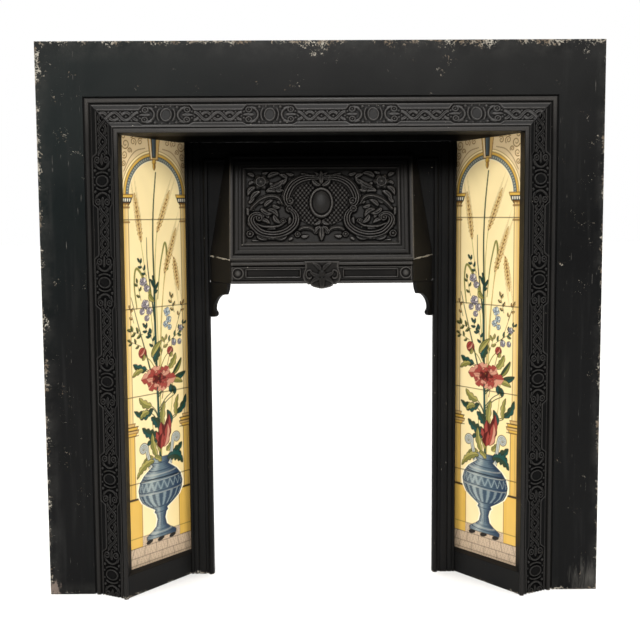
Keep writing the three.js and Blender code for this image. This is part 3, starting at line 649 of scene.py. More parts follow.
# the bracket from the stile outwards: square nose, hollow and bead, as distance out and height
bracketOutline = np.vstack([
    [[-3, 537.4], [56, 537.4]], curveThrough([[55.8, 535.5], [53.7, 526.6], [50.6, 520.6], [48.6, 517]], 4),
    [[44, 516.7], [40, 516.5]],
    curveThrough([[38, 516.2], [30.2, 514], [22, 508.9], [15.5, 502], [12.2, 495], [11.6, 488.7]], 5),
    curveThrough([[13.4, 486.2], [16.2, 484], [17.1, 481], [15.2, 477.4], [10, 475]], 4), [[2.7, 474.5], [-3, 474.5]],
])
inset, rise = rollProfile.T
rollX, rollZ, rollY = arch["rollOuter"] - inset, arch["rollTop"] - inset, arch["front"] - rise
reedX, reedY = reedProfile[:, 0], arch["front"] - reedProfile[:, 1]
runX, runY = np.array(arch["bracketRun"]) / math.hypot(*arch["bracketRun"])
for word, side in bothSides:
    rings = [np.column_stack([side * reedX, reedY, 0 * reedX + z]) for z in (0, arch["top"])]
    sweptPiece("stileReeds" + word, rings, blackIron, "inner_arch")
    # roll up the stile, turned inwards under the top rail and stopped at the hood
    rings = [np.column_stack([side * x, rollY, z]) for x, z in (
        (rollX, 0 * rollZ), (rollX, rollZ), (0 * rollX + arch["rollEnd"], rollZ))]
    sweptPiece("roll" + word, rings, blackIron, "inner_arch")
    uprightPiece("stileFlange" + word, onSide(arch["flange"], side), 0, arch["top"], blackIron, "inner_arch", 0.4)
    rings = []
    for thick in (0, arch["bracketThick"]):
        base = np.array([side * (arch["opening"] - runY * thick), arch["front"] + runX * thick])
        plan = base + bracketOutline[:, :1] * np.array([-side * runX, -runY])
        rings.append(np.column_stack([plan, bracketOutline[:, 1]]))
    softenEdges(sweptPiece("bracket" + word, rings, blackIron, "inner_arch"), 0.9)
print("arch made")

# Hood: leaning panel with a stepped border and scroll relief, splayed sides and an open back
hood = {
    "half": 162, "bottom": (50, 578), "top": (87, 762), "oval": 101.3, "squeeze": 1.04, "step": 1.0, "sunk": -9,
    "lattice": 7.4, "rosette": (106, 39), "backHalf": 158.0, "backSpan": (1.0, 186.0), "backLifts": (-6.2, -10.5),
}
leanOut, leanUp = np.subtract(hood["top"], hood["bottom"])
hoodLean, hoodLength = math.atan2(leanOut, leanUp), math.hypot(leanOut, leanUp)
# grooved scrolls of one half: knots, half width, height and reeds
hoodScrolls = (
    ([(4, 46), (20, 46.5), (36, 43), (50, 33.5), (58, 20), (61, 8), (58, -2), (52, 0)], 9.4, 7.2, 4),
    ([(58, -10), (51, -15), (46, -22), (44.5, -31), (48, -42), (60, -52.5), (75, -58), (91, -58.5), (106, -54.5),
      (117.5, -44), (123, -33), (120, -24), (111, -21), (103, -25)], 7.6, 7.0, 3),
    ([(124, -12), (116, -2), (104, 7.5), (89, 12.5), (76, 9.5), (68, -2)], 4.6, 5.2, 2),
    ([(114, -38), (102, -43), (88, -44), (74, -42), (62, -34)], 3.0, 4.0, 1),
    ([(39, -50), (33, -46.6), (26, -46), (19, -47.4), (13, -52)], 4.2, 4.6, 2),
)
# knobs: place, radius and height
hoodKnobs = (
    ((55, 3), 6.6, 7.4), ((56, -11.5), 6.2, 7.2), ((109, -28), 5.6, 6.4), ((42, -58), 5.2, 5.2),
    ((125, -57), 6.4, 5.4), ((67, -33), 4.6, 5.4), ((10, -53), 4.2, 4.6), ((66, 12), 3.4, 4),
)
# leaves: foot, tip, bend, half width and height
hoodLeaves = (
    ((90, 28), (66, 44), 4, 7, 5.2), ((94, 48), (72, 55), -3, 5.4, 4.8), ((74, 34), (60, 47), 2, 4.6, 4.4),
    ((116, 30), (129, 14), 3, 5.4, 4.8), ((108, 22), (124, 4), 3, 5.4, 4.6), ((118, 50), (130, 55), 1, 4.4, 4.2),
    ((97, 22), (80, 20), -3, 5.4, 4.8), ((82, 26), (66, 24), 2, 4.6, 4.4), ((106, -10), (86, -20), 4, 5.8, 5.4),
    ((94, -12), (76, -26), -4, 6.0, 5.4), ((84, -22), (70, -38), 3, 5.0, 5.0), ((100, -6), (84, 6), -2, 4.8, 4.4),
    ((86, -4), (72, -8), 2, 4.4, 4.2), ((106, -30), (90, -38), -2, 4.4, 4.4), ((129, -8), (127, -24), 2, 4.0, 4.0),
    ((127, 0), (117, 13), 1, 4.0, 4.0), ((60, 45), (74, 53), 2, 4.6, 4.4), ((48, 52), (63, 56), -1, 3.8, 3.8),
    ((114, -60), (94, -67), 2, 4.0, 4.0), ((60, -60), (80, -67), -2, 4.0, 4.0), ((36, -62), (22, -60), 1, 3.6, 4.0),
    ((20, 51), (36, 56), -2, 4.2, 4.4), ((70, 32), (77, 20), 1, 4.0, 4.0), ((90, 38), (82, 32), 1, 3.4, 3.8),
    ((118, 40), (128, 34), 1, 3.6, 3.8), ((104, 55), (92, 58), 1, 3.2, 3.6), ((92, -28), (104, -20), 2, 3.6, 4.2),
    ((78, 2), (66, 4), 2, 3.2, 3.6), ((110, 0), (98, 6), 1, 3.4, 3.6), ((80, -48), (96, -50), 2, 3.4, 3.8),
    ((56, -26), (58, -40), -2, 3.6, 4.0), ((122, -68), (108, -70), 1, 2.6, 3.0), ((50, -64), (58, -70), 1, 2.8, 3.2),
)
# leaves of the cresting and the drop, on both sides of the centre line
hoodCrest = (((1, 31), (17, 47), -3, 5, 6), ((2, 40), (12, 57), 3, 4.2, 5.6), ((1, -44), (11, -56), 3, 4.2, 5),
             ((1, -33), (14, -40), -2, 3.6, 5))
toothRim = ((48, -46), (60, -58), (75, -64.5), (91, -65.5), (107, -61), (120, -50), (128, -38))


# point of the panel: u across, v up its slope, lift square to it
def hoodPoint(u, v, lift):
    return np.stack([u, hood["bottom"][0] + v * math.sin(hoodLean) - lift * math.cos(hoodLean),
                     hood["bottom"][1] + v * math.cos(hoodLean) + lift * math.sin(hoodLean)], -1)


# grooved band along a scroll: rounded reeds across it, narrowing to its ends
def scrollBand(u, v, knots, half, height, reeds):
    distance, where, side = alongPath(u, v, curveThrough(knots, 6))
    width = half * (0.5 + 0.5 * np.sin(np.pi * np.clip(where, 0, 1)) ** 0.6)
    d = np.clip(distance / width, 0, 1) * side
    crown = np.sqrt(np.clip(1 - d ** 2, 0, 1))
    reed = 0.5 + 0.5 * np.cos(np.pi * reeds * d)
    return height * np.clip(crown * (0.55 + 0.45 * reed), 0, None) * (distance < width)


# round knob with a sunk ring: the higher of a button and a rim
def knob(u, v, at, radius, height):
    q = np.hypot(u - at[0], v - at[1]) / radius
    return height * np.maximum(ridge(q - 0.82, 0.18), 0.95 * ridge(q, 0.56)) * (q < 1)


# scroll relief of one half, u counted out from the centre line and v from the oval's centre
def reliefHalf(u, v):
    parts = [scrollBand(u, v, *scroll) for scroll in hoodScrolls]
    parts += [knob(u, v, *each) for each in hoodKnobs] + [leafLift(u, v, *leaf) for leaf in hoodLeaves]
    # leafy teeth along the outside of the lower scroll
    rim = curveThrough(toothRim, 5)
    parts += [leafLift(u, v, a, b + (b - a) * 0.5, 0.6, 2.6, 4.4) for a, b in zip(rim[:-2:2], rim[2::2])]
    # rosette: six round petals about a ringed eye
    x, y = u - hood["rosette"][0], v - hood["rosette"][1]
    turn = np.arctan2(y, x)
    far = np.hypot(x, y)
    petal = 15.5 - 2.6 * np.abs(np.sin(3 * turn))
    parts.append(5.2 * ridge(far, petal) - 1.6 * np.exp(-(np.sin(3 * turn + 1.57) / 0.25) ** 2) * (far > 6))
    parts += [2.0 * ridge(far - 8.4, 1.5) + 3.8 * (far < 9), 6.6 * ridge(far, 5.2)]
    return highest(*parts)


# border, diaper, oval and scrolls over the panel, by the distance from its nearest edge
def hoodLift(u, v):
    h = hood
    edge = np.minimum(np.minimum(h["half"] - np.abs(u), (hoodLength - v) * 1.07), v * 0.91)
    # border: flat outer band, a step, a flat fillet, a small bead and a hollow down to the field
    lift = -0.3 * ease(0, 14, edge) + 0.9 * ridge(edge - 4.8, 2.4) - 1.5 * ridge(edge - 9.0, 1.6)
    lift = lift - 1.4 * ease(15.5, 17, edge) - 1.2 * ease(21, 22.5, edge)
    lift = lift + 1.5 * ridge(edge - 25.4, 1.9) - 2.2 * ease(27.2, 31, edge) - 2.4 * (1 - ease(0, 1.6, edge))
    inField = ease(30.2, 31.4, edge)
    vo = (v - h["oval"]) * h["squeeze"]
    # diaper of pellets round the oval on a diagonal lattice
    i = (u + vo * 0.8) / h["lattice"]
    j = (u - vo * 0.8) / h["lattice"]
    pellet = ridge(np.hypot(i - np.round(i), j - np.round(j)), 0.52)
    ground = np.hypot(u / 55, (vo - 1) / 43) < 1
    relief = highest(reliefHalf(np.abs(u), vo), np.where(ground, 2.6 * pellet, 0))
    q = np.hypot(u / 20, vo / 27)
    relief = np.where(q < 1.12, 0, relief)
    oval = highest(6.0 * ridge(q - 0.94, 0.13), 3.0 * (q < 0.9), (3.0 + 4.0 * ridge(q, 0.8)) * (q < 0.8))
    crest = [leafLift(side * u, vo, *leaf) for side in (-1, 1) for leaf in hoodCrest]
    crest.append(leafLift(u, vo, (0, 34), (0, 60), 0, 5.5, 6.6))
    crest.append(leafLift(u, vo, (0, -44), (0, -70), 0, 6.4, 5.6))
    return lift + 1.25 * inField * np.clip(highest(relief, oval, *crest), 0, None)


uu, vv = np.meshgrid(
    np.pad(np.linspace(-hood["half"], hood["half"], int(2 * hood["half"] / hood["step"]) + 1), 1, mode="edge"),
    np.pad(np.linspace(0, hoodLength, int(hoodLength / hood["step"]) + 1), 1, mode="edge"))
lift = hoodLift(uu, vv)
lift[[0, -1]] = lift[:, [0, -1]] = hood["sunk"]
hollow, fine = hollowBy(lift, 4), hollowBy(lift, 2)
under = np.gradient(lift, axis=0) / hood["step"]  # rising upward: the surface looks down and takes painted shade along with its soot
# grime in the hollows and painted shade with soot under forms; the rubbing adds a painted highlight on faces turned
# up
grimeAndShade = np.maximum(0.9 * ease(0.25, 2.0, hollow), 0.95 * ease(0.12, 0.8, fine)) + 0.6 * ease(0.15, 0.9, under)
makePiece("hoodPanel", hoodPoint(uu, vv, lift), gridQuads(*uu.shape), hoodIron, "hood", facing=(0, -1, 0), sharp=0,
          values={"rubbedAndLit": 0.1 + 0.75 * ease(0.3, 2.0, -hollow) + 0.4 * ease(0.15, 1.0, -under),
                  "grimeAndShade": np.clip(grimeAndShade, 0, 0.97)})


# a flat wall between an outer and an inner quad
def wallPiece(name, outer, inner, bevel):
    softenEdges(sweptPiece(name, [outer, inner], hoodIron, "hood"), bevel)


hoodBack = arch["front"] - 0.3
sideOuter = np.array([(161.4, 51, 578), (161.4, 88, 762), (169, hoodBack, 762), (199.7, hoodBack, 584)])
sideInner = np.array([(154.4, 56, 579), (154.4, 93, 760), (161, hoodBack, 760), (191, hoodBack, 585)])
for word, side in bothSides:
    wallPiece("hoodSide" + word, sideOuter * (side, 1, 1), sideInner * (side, 1, 1), 0.7)
wallPiece("hoodTop", [(-161.6, 88, 761.6), (161.6, 88, 761.6), (168.6, hoodBack, 761.6), (-168.6, hoodBack, 761.6)],
          [(-161.6, 90, 754), (161.6, 90, 754), (168, hoodBack, 754), (-168, hoodBack, 754)], 0.5)
# back of the panel, a plain cast face behind the field
backU = hood["backHalf"] * np.array([-1, 1, 1, -1])
backV = np.repeat(hood["backSpan"], 2)
wallPiece("hoodPanelBack", *(hoodPoint(backU, backV, each) for each in hood["backLifts"]), 0.4)
print("hood made")

# Hood rail: moulded front bar, plain splayed returns, roundels and a centre cartouche
bar = {
    "front": 54, "half": 159.6, "low": 536, "high": 577.4, "columns": 321, "rows": 52, "sunk": -8,
    "back": ((-159, 60.4), (159, 60.4), (159, 62.2), (-159, 62.2)), "backLow": 536.2, "backHigh": 577.2,
    "return": ((159.2, 53.2), (199.6, 104.3), (189, 104.3), (156, 61)), "returnLow": 537.5,
    "returnTop": (578.2, 584.2, 584.2, 578.2), "roundelAt": (147, 554.8), "roundelBase": 3.0, "spokes": 40,
    "face": -1.2, "topFrom": 566, "topBead": (571.6, 3.4), "lowTo": 542.6, "lowBead": (539, 3.0),
    "panelHeight": (544.8, 564.4), "panelWidth": (35, 135.5),
    # radius, rise, rubbing with a painted highlight, and grime from the roundel's rim to its button
    "roundel": ((10.8, -1.0, 0, 0.9), (10.8, 2.2, 0.3, 0), (9.9, 3.2, 0.6, 0), (8.7, 3.2, 0.6, 0),
                (7.9, 2.0, 0, 0.95), (6.6, 1.6, 0, 0.95), (5.2, 2.6, 0.2, 0.3), (2.9, 3.6, 0.5, 0),
                (0.7, 3.9, 0.6, 0)),
}


# face of the bar: beads along top and bottom and a sunk panel with an inner bead each side of the middle
def barLift(x, z):
    topAt, topHalf = bar["topBead"]
    lowAt, lowHalf = bar["lowBead"]
    lift = np.where(z > bar["topFrom"], -3.0 + 3.6 * ridge(z - topAt, topHalf), bar["face"])
    lift = np.where(z < bar["lowTo"], -2.2 + 2.6 * ridge(z - lowAt, lowHalf), lift)
    out = np.abs(x)
    (low, high), (inner, outer) = bar["panelHeight"], bar["panelWidth"]
    e = np.minimum(np.minimum(z - low, high - z), np.minimum(out - inner, outer - out))
    lift = lift - 1.1 * ease(0, 0.9, e) + 1.0 * ridge(e - 2.4, 1.2) - 1.4 * ease(3.6, 4.8, e)
    return lift - 2.5 * (1 - ease(0, 1.4, bar["half"] - out))


barX, barZ = np.meshgrid(np.linspace(-bar["half"], bar["half"], bar["columns"]),
                         np.linspace(bar["low"], bar["high"], bar["rows"]))
lift = barLift(barX, barZ)
lift[[0, -1]] = lift[:, [0, -1]] = bar["sunk"]
hollow = hollowBy(lift, 3)
makePiece("railBar", np.stack([barX, bar["front"] - lift, barZ], -1), gridQuads(*barX.shape), hoodIron, "hood_rail",
          facing=(0, -1, 0), sharp=45,
          values={"rubbedAndLit": 0.55 * ease(0.1, 0.9, -hollow), "grimeAndShade": 0.8 * ease(0.15, 1.0, hollow)})
uprightPiece("railBarBack", bar["back"], bar["backLow"], bar["backHigh"], hoodIron, "hood_rail", 0.3)
for word, side in bothSides:
    uprightPiece("railReturn" + word, onSide(bar["return"], side), bar["returnLow"], np.array(bar["returnTop"]),
                 hoodIron, "hood_rail", 0.9)

# roundels: a ring, a hollow and a button, turned on the bar's face
spokes = bar["spokes"]
turn = np.linspace(0, 2 * np.pi, spokes, endpoint=False)[None, :]
radius, rise, rubbedAndLit, grimeAndShade = np.array(bar["roundel"]).T[..., None]
for word, side in bothSides:
    points = np.stack([side * bar["roundelAt"][0] + radius * np.cos(turn),
                       bar["front"] + bar["roundelBase"] - rise + 0 * turn,
                       bar["roundelAt"][1] + radius * np.sin(turn)], -1)
    makePiece("roundel" + word, points, gridQuads(len(radius), spokes, True), hoodIron, "hood_rail",
              [range(spokes * (len(radius) - 1), spokes * len(radius))], (0, -1, 0), 50,
              values={"rubbedAndLit": np.repeat(rubbedAndLit, spokes), "grimeAndShade": np.repeat(grimeAndShade, spokes)})

# cartouche: a scalloped shield with leaves and crescents, its edge dropping back to the bar
shield = {
    "half": 36, "low": 524, "high": 578, "columns": 91, "rows": 68, "flat": 3.6, "sunk": -5.5, "spare": 0.9,
    "top": 576, "sideHalf": 31, "sideWave": 2.2, "tipHalf": 26, "tip": (534.6, 7.4, 20), "foot": 538, "scallop": 1.1,
    "leaves": (((1, 560), (17, 573), 2, 4.6, 3.2), ((2, 550), (22, 560), -3, 4.4, 3.0),
               ((2, 546), (20, 536), 3, 4.2, 2.8)),
}
shieldX, shieldZ = np.meshgrid(np.linspace(-shield["half"], shield["half"], shield["columns"]),
                               np.linspace(shield["low"], shield["high"], shield["rows"]))
tipAt, tipDrop, tipReach = shield["tip"]
wave = shield["scallop"] * np.abs(np.sin(np.abs(shieldX) / 7.4))
drop = np.where(np.abs(shieldX) < shield["tipHalf"], tipAt - tipDrop * ridge(shieldX, tipReach) + wave,
                shield["foot"])
sides = shield["sideHalf"] + shield["sideWave"] * np.sin((shieldZ - 540) / 36 * np.pi * 2)
inShield = np.minimum(np.minimum(sides - np.abs(shieldX), shieldZ - drop), shield["top"] - shieldZ)
parts = [leafLift(shieldX, shieldZ, (0, 548), (0, 527), 0, 6, 3.0),
         3.4 * ridge(np.hypot(shieldX / 6.5, (shieldZ - 554) / 7), 1)]
for side in (-1, 1):
    out = side * shieldX
    parts += [leafLift(out, shieldZ, *leaf) for leaf in shield["leaves"]]
    parts.append(3.0 * ridge(np.hypot((out - 22) / 7, (shieldZ - 553) / 9) - 0.8, 0.2) * (out > 18))
swell = highest(shield["flat"] * ease(0, 2.4, inShield), *(shield["flat"] + part for part in parts))
swell = np.where(inShield > 0, swell, shield["sunk"])
shieldQuads = gridQuads(*shieldX.shape)
shieldQuads = shieldQuads[(inShield > -shield["spare"]).ravel()[shieldQuads].all(1)]
hollow = hollowBy(swell, 4)
makePiece("railCartoucheBack", np.stack([shieldX, bar["front"] - shield["sunk"] + 0 * shieldX, shieldZ], -1),
          shieldQuads,
          hoodIron, "hood_rail", facing=(0, 1, 0), sharp=0)
makePiece("railCartouche", np.stack([shieldX, bar["front"] - swell, shieldZ], -1), shieldQuads, hoodIron, "hood_rail",
          facing=(0, -1, 0), sharp=0,
          values={"rubbedAndLit": 0.03 + 0.42 * ease(0.3, 1.6, -hollow), "grimeAndShade": 0.9 * ease(0.2, 1.4, hollow)})
print("rail made")

# Tiles: pressed clay slabs with a slightly rounded face edge, printed and tinted under a clear glaze
tile = {
    "size": 152.96, "thick": 10, "pitch": 153, "count": 5, "base": 37.7, "start": -1.65, "step": 1.01, "edge": 1.0,
    "jointDirt": 0.75, "jointReach": 1.5, "sootAndShade": 0.4, "facing": (0.79, 0.61),
}
glazeLook = {
    "biscuit": "#b59f7c", "mortar": "#5d564c", "clay": "#a8906c", "joint": "#2e2a25", "ribMm": 12, "stainMm": 45,
    "rippleMm": 28, "roughness": (0.32, 0.9), "coat": (0.14, 0.0), "coatRoughness": 0.08, "specular": 0.12,
}


# painted colours under a thin glossy coat on the face; matt ribbed clay with old mortar where the slab is bare
def makeGlaze(name):
    look = glazeLook
    material = bpy.data.materials.new(name)
    material.use_nodes = True
    tree = material.node_tree
    shader = tree.nodes["Principled BSDF"]
    shader.inputs["Coat Roughness"].default_value = look["coatRoughness"]
    shader.inputs["Specular IOR Level"].default_value = look["specular"]
    add = partial(addNode, tree)
    picture = add("VertexColor", layer_name="picture")
    here = {"Vector": (add("TexCoord"), "Object")}
    bare = (add("Attribute", attribute_name="bare"), "Fac")
    clay = add("ValToRGB", None, {"Fac": add("TexNoise", noise(look["stainMm"], 8.0, 0.65), here)})
    for element, at, colour in zip(clay.color_ramp.elements, (0.4, 0.62), ("mortar", "clay")):
        element.position = at
        element.color = rgba(look[colour])
    # dark joints between the backs, once a pitch
    split = add("SeparateXYZ", None, here)
    height = add("Math", {1: tile["base"] / 1000}, {0: (split, "Z")}, operation="SUBTRACT")
    joint = add("Math", {1: tile["pitch"] / 2000}, {0: height}, operation="PINGPONG")
    joint = add("MapRange", span(0.0012, 0.0022, 0.9, 0.0), {"Value": joint})
    clay = add("Mix", {7: rgba(look["joint"])}, {0: joint, 6: clay}, data_type="RGBA")
    finish = add("Mix", None, {0: bare, 6: picture, 7: clay}, data_type="RGBA")
    tree.links.new(outputOf(finish), shader.inputs["Base Color"])
    for socket, levels in (("Roughness", look["roughness"]), ("Coat Weight", look["coat"])):
        level = add("MapRange", span(0.0, 1.0, *levels), {"Value": bare})
        tree.links.new(outputOf(level), shader.inputs[socket])
    ribs = add("TexWave", {"Scale": 314 / look["ribMm"]}, here, bands_direction="Z")
    ribs = add("Math", None, {0: (ribs, "Fac"), 1: bare}, operation="MULTIPLY")
    ribbed = add("Bump", {"Strength": 0.8, "Distance": 0.0015}, {"Height": ribs})
    ripple = add("TexNoise", noise(look["rippleMm"], 1.0), here)
    bump = add("Bump", {"Strength": 0.12, "Distance": 0.0006}, {"Height": ripple, "Normal": ribbed})
    tree.links.new(outputOf(bump), shader.inputs["Normal"])
    return material


glaze = makeGlaze("glazedPictureTile")


# Tile panel: an arched niche with a footed urn of flowers and wheat, five tiles high.
# Panel coordinates run right and down from the top left corner in millimetres.
paint = {
    "cream": "#f5dfa8", "warm": "#efd18b", "tan": "#e2c99c", "brown": "#7d5a30", "line": "#1a1209",
    "ochre": "#d6ab4e", "straw": "#c9a566", "yellow": "#deb357", "slate": "#5d6f78", "mist": "#a5b0ac",
    "night": "#22354a", "stone": "#c8b094", "stoneLine": "#75624e", "red": "#994036", "wine": "#521712",
    "blush": "#ca8f75", "teal": "#1f4a44", "pine": "#2f3f2b", "olive": "#7d7a3e", "moss": "#a59a55",
    "violet": "#8a8188", "lilac": "#d8cec6", "blue": "#8f9da4", "sky": "#ccd0c8", "wheat": "#c39d5c",
    "husk": "#7b5626", "grain": "#dcc083", "keystone": "#454a4c", "ringBlue": "#616d70", "ringPale": "#b9b597",
    "pearl": "#c4c3b4", "halo": "#fbf1d6",
}
inks = {key: linear(value) for key, value in paint.items()}
panelMiddle = 76
panelBox = ((-5, -5), (160, 800))


# a painted sheet: colours on a grid of columns and rows, laid on by brush, area and motif
class Panel:
    # an empty sheet and how far the edge of a brush mark fades, in millimetres
    def __init__(self, xs, ys):
        self.xs, self.ys = xs, ys
        self.rgb = np.empty((len(ys), len(xs), 3))
        self.soft = 0.55

    # rows and columns within a box, with their coordinates
    def window(self, low, high):
        c = slice(*np.searchsorted(self.xs, (low[0], high[0])))
        r = slice(*np.searchsorted(self.ys, (low[1], high[1])))
        return (r, c), *np.meshgrid(self.xs[c], self.ys[r])

    # lays a colour over the window by a share between 0 and 1
    def lay(self, at, share, colour):
        self.rgb[at] += np.clip(share, 0, 1)[..., None] * (inks[colour] - self.rgb[at])

    # fills a closed outline: even-odd crossings give the inside, the distance to the edge softens it
    def area(self, outline, colour, share=1.0, edge=None, edgeHalf=0.45):
        o = np.asarray(outline, float)
        at, x, y = self.window(o.min(0) - 2, o.max(0) + 2)
        loop = np.vstack([o, o[:1]])
        distance = alongPath(x, y, loop)[0]
        inside = np.zeros(x.shape, bool)
        for (ax, ay), (bx, by) in zip(loop[:-1], loop[1:]):
            cross = (ay > y) != (by > y)
            inside ^= cross & (x < (bx - ax) * (y - ay) / (by - ay if by != ay else 1e-9) + ax)
        self.lay(at, share * ease(-self.soft, self.soft, np.where(inside, distance, -distance)), colour)
        if edge:
            self.lay(at, 1 - ease(edgeHalf - 0.2, edgeHalf + 0.7, distance), edge)

    # brush line along a smooth curve, its half width running from one value to the other
    def stroke(self, knots, first, last, colour, share=1.0):
        path = curveThrough(knots, 5) if len(knots) > 2 else np.asarray(knots, float)
        wide = max(first, last) + 2
        at, x, y = self.window(path.min(0) - wide, path.max(0) + wide)
        distance, where, _ = alongPath(x, y, path)
        half = first + (last - first) * where
        self.lay(at, share * (1 - ease(half - self.soft, half + self.soft, distance)), colour)

    # the same shape on both sides of the middle, its points as distance out and height
    def pair(self, draw, points, *rest):
        for side in (-1, 1):
            draw(np.asarray(points, float) * (side, 1) + (panelMiddle, 0), *rest)

    # a block on both sides: inner and outer distance, two heights and how far the foot draws in
    def block(self, inner, outer, top, bottom, taper, *rest):
        self.pair(self.area, [(inner, top), (outer, top), (outer, bottom), (inner + taper, bottom)], *rest)

    # round spot, shaded from its upper left
    def spot(self, at, radius, colour, shade=None, edge=None):
        box, x, y = self.window(np.array(at) - radius - 2, np.array(at) + radius + 2)
        far = np.hypot(x - at[0], y - at[1])
        if edge:
            self.lay(box, 1 - ease(radius - 0.1, radius + 0.9, far), edge)
        self.lay(box, 1 - ease(radius - 0.9, radius, far), colour)
        if shade:
            dark = ease(-0.4, 0.9, ((x - at[0]) + (y - at[1])) / radius) * (far < radius - 0.3)
            self.lay(box, 0.7 * dark, shade)

    # leaf about a bent midrib: one half in the first colour and one in the second, edge scalloped by lobes
    def leaf(self, start, end, bend, half, dark, light, lobes=0, line="line", veins=0.5, rim=1.7):
        start, end = np.array(start, float), np.array(end, float)
        reach = half + abs(bend) + 3
        at, x, y = self.window(np.minimum(start, end) - reach, np.maximum(start, end) + reach)
        t, across = leafPlace(x, y, start, end, bend)
        tt = np.clip(t, 0, 1)
        width = half * np.clip(np.sin(np.pi * tt ** 0.8), 0, 1) ** 0.75
        if lobes:
            width = width * (0.62 + 0.38 * np.abs(np.sin(np.pi * lobes * tt)))
        gap = np.where((t > 0) & (t < 1), width - np.abs(across), -5)
        self.lay(at, ease(-rim, -0.25 * rim, gap), line)
        body = ease(-0.4, 0.5, gap)
        self.lay(at, body, dark)
        self.lay(at, body * ease(-0.6, 0.9, across), light)
        self.lay(at, veins * body * np.exp(-(across / 0.55) ** 2), line)

    # blossom: petals set round a centre, drawn as short leaves
    def blossom(self, at, radius, petals, dark, light, eye, squash=1.0, turn=0.0):
        for k in range(petals):
            a = turn + 2 * math.pi * k / petals
            tip = (at[0] + radius * math.cos(a), at[1] + radius * squash * math.sin(a))
            self.leaf(at, tip, 0, radius * 0.48, dark, light, 0, "line", 0.35)
        self.spot(at, radius * 0.2, eye)

    # ear of wheat: grains leaning out in pairs from the stalk, with long fine awns
    def ear(self, tip, foot, pairs):
        tip, foot = np.array(tip, float), np.array(foot, float)
        step = (tip - foot) / (pairs + 4)
        along = step / np.hypot(*step)
        out = np.array([-along[1], along[0]])
        grain = np.hypot(*step) * 1.15
        self.stroke([foot, foot + step * pairs], 0.8, 0.5, "husk")
        for k in range(pairs):
            at = foot + step * k
            lean = 5.6 * min(1, (k + 1) / 2.2) * (1 - 0.7 * (k / pairs) ** 1.6)
            for side in (-1, 1):
                end = at + along * grain + out * side * lean
                self.stroke([end, end + along * (22 + 16 * k / pairs) + out * side * 2.4], 0.5, 0.3, "husk", 0.35)
                self.stroke([at - along * 1.2, end - along * 2.2 + out * side * 0.8], 1.0, 0.7, "husk")
                self.leaf(at + along * 1.2 + out * side * 0.7, end + along * 0.8, side * 0.6, 1.7, "grain",
                          "wheat", 0, "husk", 0.0, 0.5)
        self.leaf(foot + step * (pairs - 0.5), foot + step * (pairs + 1.4), 0, 1.5, "wheat", "grain", 0, "husk", 0.0,
                  0.9)

    # several leaves up a short stalk, in pairs
    def sprig(self, foot, tip, count, size, dark, light):
        foot, tip = np.array(foot, float), np.array(tip, float)
        self.stroke([foot, tip], 0.6, 0.4, "pine")
        along = (tip - foot) / np.hypot(*(tip - foot))
        out = np.array([-along[1], along[0]])
        for k in range(count):
            at = foot + (tip - foot) * (k + 0.6) / count
            side = 1 if k % 2 else -1
            self.leaf(at, at + along * size * 0.7 + out * side * size * 0.85, side * 0.8, size * 0.22, dark, light,
                      rim=1.1)
        self.leaf(tip, tip + along * size, 0.6, size * 0.22, dark, light, rim=1.1)


